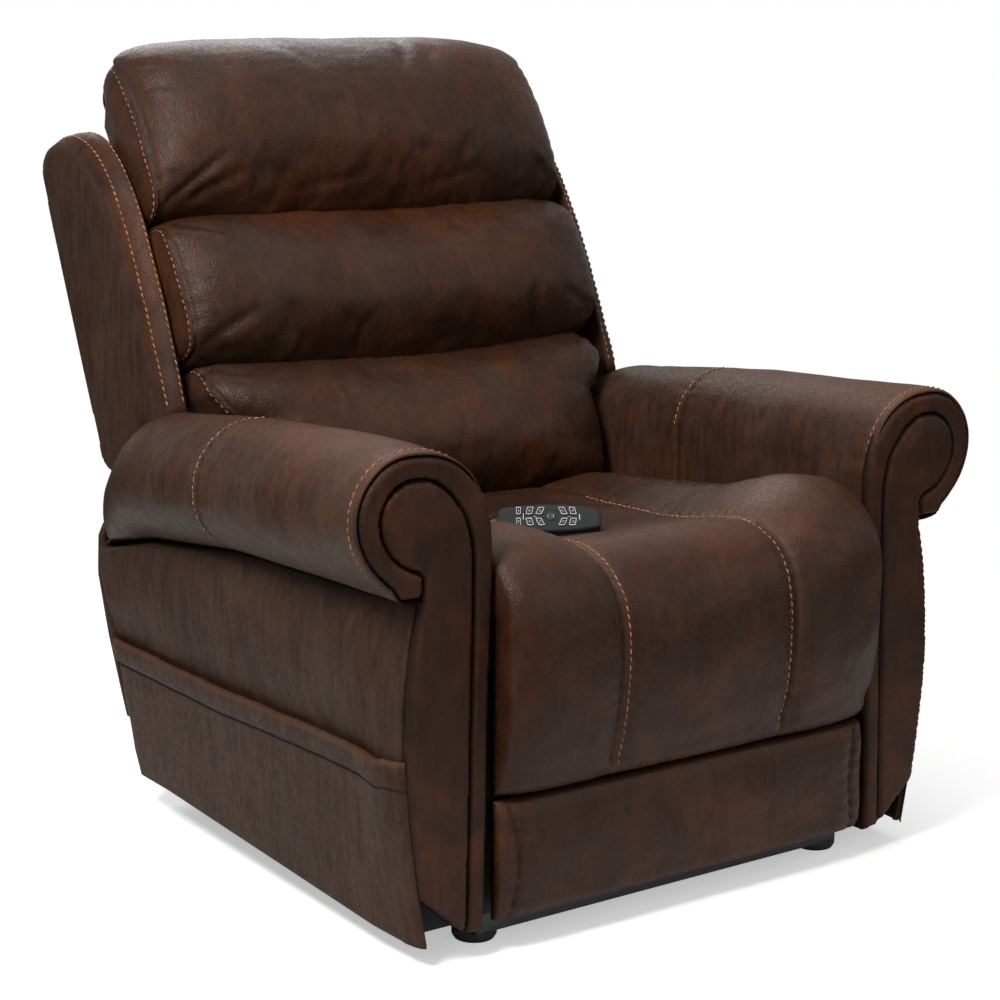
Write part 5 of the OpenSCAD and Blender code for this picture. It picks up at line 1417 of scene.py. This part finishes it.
# handset: a tapered case, outlined keys and a round knob
handset = dict(place=(-0.0886, -0.303, 0.4751), turn=-35, tilt=32, length=0.132, width=0.049, thick=0.018,
               knob=(0.0022, 0.0065), rise=0.0012,
               keys=[(-38.8, 10, 6.2, 0), (-38.8, -10, 6.2, 0), (-24.6, 10, 8.2, 1.1), (-24.6, -10, 8.2, -1.1),
                     (-11.3, 10, 8, 2.2), (-11.3, -10, 8, -2.2), (17.8, 10, 8, -2.2), (17.8, -10, 8, 2.2),
                     (30.2, 10, 8.2, -1.1), (30.2, -10, 8.2, 1.1)])
turn, tilt = math.radians(handset["turn"]), math.radians(handset["tilt"])
handAcross = np.array([math.cos(turn), math.sin(turn), 0])
handUp = np.array([-math.sin(turn) * math.cos(tilt), math.cos(turn) * math.cos(tilt), math.sin(tilt)])
handOut = np.cross(handAcross, handUp)


def fromHand(points):
    p = np.asarray(points, float)
    return (np.asarray(handset["place"]) + p[..., 0:1] * handAcross + p[..., 1:2] * handUp
            + p[..., 2:3] * handOut)


def caseHalf(x):
    return handset["width"] / 2 - 0.009 * (np.abs(x) / (handset["length"] / 2)) ** 2


def caseRing(inset, z):
    l = handset["length"] / 2 - inset
    xs = np.concatenate([[-l, -l + .0006, -l + .0018, -l + .0040], np.linspace(-l + .007, l - .007, 41),
                         [l - .0040, l - .0018, l - .0006, l]])
    cut = np.concatenate([[.0052, .0034, .0015, .0003], np.zeros(41), [.0003, .0015, .0034, .0052]])
    half = caseHalf(xs) - inset - cut
    low = grids(xs, -half, z)
    return np.vstack([low, low[::-1] * (1, -1, 1)])


top = handset["thick"] / 2
profile = [(.0070, -top), (.0040, -top + .0004), (.0016, -top + .0018), (.0004, -top + .0042),
           (0, -top + .0070), (0, .0020), (.0004, .0024), (.0004, .0030), (0, .0034), (.0001, top - .0030),
           (.0008, top - .0012), (.0020, top - .0003), (.0034, top), (.0050, top)]
points, faces = loftShape([fromHand(caseRing(inset, z)) for inset, z in profile])
shell = addMesh("handsetShell", points, faces, casePlastic, "chair", slot="handset_plastic")
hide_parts("handset_case", "handset_face")


def keyOutline(spec, grow=0.0, corner=0.0013):
    x, y, w, skew = [v / 1000 for v in spec]
    h, w, s = 0.0068 + grow, w / 2 + grow, skew
    corners = [(-w - s, -h), (w - s, -h), (w + s, h), (-w + s, h)]
    line = []
    for k, (cx, cy) in enumerate(corners):
        bx, by = corners[k - 1]
        nx, ny = corners[(k + 1) % 4]
        for t in (0.0, 0.5, 1.0):
            def toward(px, py, dist):
                gap = math.hypot(px - cx, py - cy)
                return cx + (px - cx) * dist / gap, cy + (py - cy) * dist / gap
            p, q = toward(bx, by, corner), toward(nx, ny, corner)
            line.append((x + (1 - t) ** 2 * p[0] + 2 * t * (1 - t) * cx + t * t * q[0],
                         y + (1 - t) ** 2 * p[1] + 2 * t * (1 - t) * cy + t * t * q[1]))
    return np.array(line)


def drawnIn(line, inset, z):  # a key's outline, smaller by inset, at one height
    middle = line.mean(axis=0)
    away = line - middle
    ring = middle + away * (1 - inset / np.linalg.norm(away, axis=1, keepdims=True))
    return fromHand(np.hstack([ring, np.full((len(ring), 1), z)]))


def raisedKey(line, low, high, bevel=0.0004):
    rings = ((0, low), (0, high - bevel), (bevel * 0.35, high - bevel * 0.25), (bevel, high))
    return loftShape([drawnIn(line, inset, z) for inset, z in rings])


def outlineBand(line, inside, z, lift=0.00022):  # a thin printed ring
    n = len(line)
    rings = ((0, z), (0, z + lift), (inside, z + lift), (inside, z))
    points = np.concatenate([drawnIn(line, inset, height) for inset, height in rings])
    faces = []
    for k in range(4):
        for j in range(n):
            a, b = k * n + j, k * n + (j + 1) % n
            c, d = ((k + 1) % 4) * n + (j + 1) % n, ((k + 1) % 4) * n + j
            faces.append((a, b, c, d))
    return points, facingOut(points, faces)


def markBar(ax, ay, bx, by, wide, z, lift=0.0002):  # a thin flat bar: a printed line, and on the knob a painted highlight
    a, b = np.array((ax, ay)), np.array((bx, by))
    along = (b - a) / np.linalg.norm(b - a)
    side = np.array((-along[1], along[0])) * wide / 2
    flat = np.array([a - side, b - side, b + side, a + side])
    low = fromHand(np.hstack([flat, np.full((4, 1), z)]))
    high = fromHand(np.hstack([flat, np.full((4, 1), z + lift)]))
    sides = [(k, (k + 1) % 4, (k + 1) % 4 + 4, k + 4) for k in range(4)]
    return np.concatenate([low, high]), [(3, 2, 1, 0), (4, 5, 6, 7)] + sides


def joined(shapes):
    points, faces = [], []
    for p, f in shapes:
        base = len(points)
        points += list(p)
        faces += [tuple(base + k for k in g) for g in f]
    return points, faces


keyTop = top + handset["rise"]
icons = {  # small plain marks: chevrons and bars
    0: [(-1, -2, 0, 2), (0, 2, 1, -2)], 1: [(-1, 2, 0, -2), (0, -2, 1, 2)],
    2: [(-2, -2.4, 0, 0), (0, 0, -1, 2.6), (0, 0, 2, .4)],
    3: [(-2, 2.4, 0, 0), (0, 0, -1, -2.6), (0, 0, 2, -.4)],
    4: [(-1.6, -2, 1.6, -2), (0, -2, 1.4, 2.4)], 5: [(-1.6, 2, 1.6, 2), (0, 2, 1.4, -2.4)],
    6: [(1.8, -2.2, -1, -.4), (-1, -.4, -1.2, 2.6)], 7: [(1.8, 2.2, -1, .4), (-1, .4, -1.2, -2.6)],
    8: [(-1.6, -1.6, 1.6, -1.6), (1.6, -1.6, 1.6, 2.2), (1.6, 2.2, -.6, 1.2)],
    9: [(-1.6, 1.6, 1.6, 1.6), (1.6, 1.6, 1.6, -2.2), (1.6, -2.2, -.6, -1.2)]}
for number in range(1, 11):
    low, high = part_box("key_%d" % number)
    middle = (np.array(low) + np.array(high)) / 2 - handset["place"]
    seat = 1000 * np.array([middle @ handAcross, middle @ handUp])
    k = int(np.argmin([np.hypot(spec[0] - seat[0], spec[1] - seat[1]) for spec in handset["keys"]]))
    spec = handset["keys"][k]
    body = "button_%d" % number
    points, faces = raisedKey(keyOutline(spec), top - .0030, keyTop)
    key = addMesh("key%d" % number, points, faces, keyRubber, body, slot="key_rubber")
    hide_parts("key_%d" % number)
    shapes = [outlineBand(keyOutline(spec, grow=-0.0002), 0.00115, keyTop - 0.00002)]
    for bar in icons[k]:
        x, y = spec[0], spec[1]
        ends = [(v * 0.72 + (x if i % 2 == 0 else y)) / 1000 for i, v in enumerate(bar)]
        shapes.append(markBar(*ends, 0.00055, keyTop - 0.00002))
    points, faces = joined(shapes)
    addMesh("keyMarks%d" % number, points, faces, printWhite, body, slot="key_rubber", smooth=False)
kx, kr = handset["knob"]
angles = np.linspace(0, 2 * math.pi, 49)[:-1]
knobRings = []
for r, z in ((kr, top - .0030), (kr, keyTop - .0010), (kr * .97, keyTop - .0003), (kr * .90, keyTop),
             (kr * .62, keyTop + .0001), (kr * .50, keyTop - .0004), (kr * .25, keyTop - .0007)):
    flute = 1 + (0.018 * np.cos(angles * 16) if z < keyTop - .0005 and r == kr else 0)
    knobRings.append(fromHand(grids(kx + r * flute * np.cos(angles), r * flute * np.sin(angles), z)))
points, faces = loftShape(knobRings)
knob = addMesh("knob", points, faces, knobPlastic, "button_11", slot="knob_plastic")
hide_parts("key_11")
# painted highlights: two short rows of light bars on the knob
shapes = []
for sx in (-1, 1):
    for sy in (-0.9, 0, 0.9):
        x, y = kx + sx * .0032, sy * .0012
        shapes.append(markBar(x, y - .0007, x, y + .0007, .0007, keyTop + .00005))
points, faces = joined(shapes)
addMesh("knobMarks", points, faces, printWhite, "button_11", slot="knob_plastic", smooth=False)
shapes = [markBar(x, -.0052, x, .0052, .00085, top - .00002) for x in (-.0326, .0388)]
shapes += [markBar(x, 0, x + .0042, 0, .0006, top - .00002) for x in (-.0200, .0238)]
points, faces = joined(shapes)
addMesh("caseMarks", points, faces, printWhite, "chair", slot="handset_plastic", smooth=False)
clip = [(-.020, .004), (.020, .004), (.020, .012), (-.020, .012)]
clipRings = [fromHand(np.array([(x * s, .008 + (y - .008) * s, z) for x, y in clip]))
             for s, z in ((1, -top + .0002), (1, -top - .0185), (.96, -top - .0197), (.88, -top - .0200))]
points, faces = loftShape(clipRings)
addMesh("handsetRest", points, faces, casePlastic, "chair", slot="handset_plastic", smooth=False)
a = np.linspace(0, 2 * math.pi, 25)[:-1]
reliefRings = []
for k in range(13):
    d = 0.0655 + k * 0.00072
    r = (0.0045 - 0.0013 * k / 12) * (0.86 if k % 3 == 2 else 1.0)
    reliefRings.append(fromHand(grids(-d, r * np.cos(a), r * np.sin(a))))
points, faces = loftShape(reliefRings)
addMesh("cordRelief", points, faces, cordRubber, "chair", slot="cord_rubber")
print("stage: handset ready")

# finishes for the frame parts that stay as they are
finishOf = {"base_steel": paintedSteel, "rod_steel": brightSteel, "spring_steel": springSteel,
            "motor_plastic": motorPlastic, "frame_wood": timber, "glide_rubber": glideRubber,
            "handset_plastic": casePlastic, "key_rubber": keyRubber, "knob_plastic": knobPlastic,
            "cord_rubber": cordRubber, "upholstery": hideNap}
# painted shade: these frame parts take the black cloth in place of their own finish, standing in for the shade
# in the gaps round the leg rest and under the arm sides
darkened = ("arm_board_left", "arm_board_right", "legrest_frame")
slotOf = {part["node"]: part["material_slot"] for part in frame["record"]["subparts"]}
for node, thing in frame["nodes"].items():
    finish = liningCloth if node in darkened else finishOf[slotOf[node]]
    if not thing.material_slots:
        thing.data.materials.append(finish)
    for holder in thing.material_slots:
        holder.material = finish
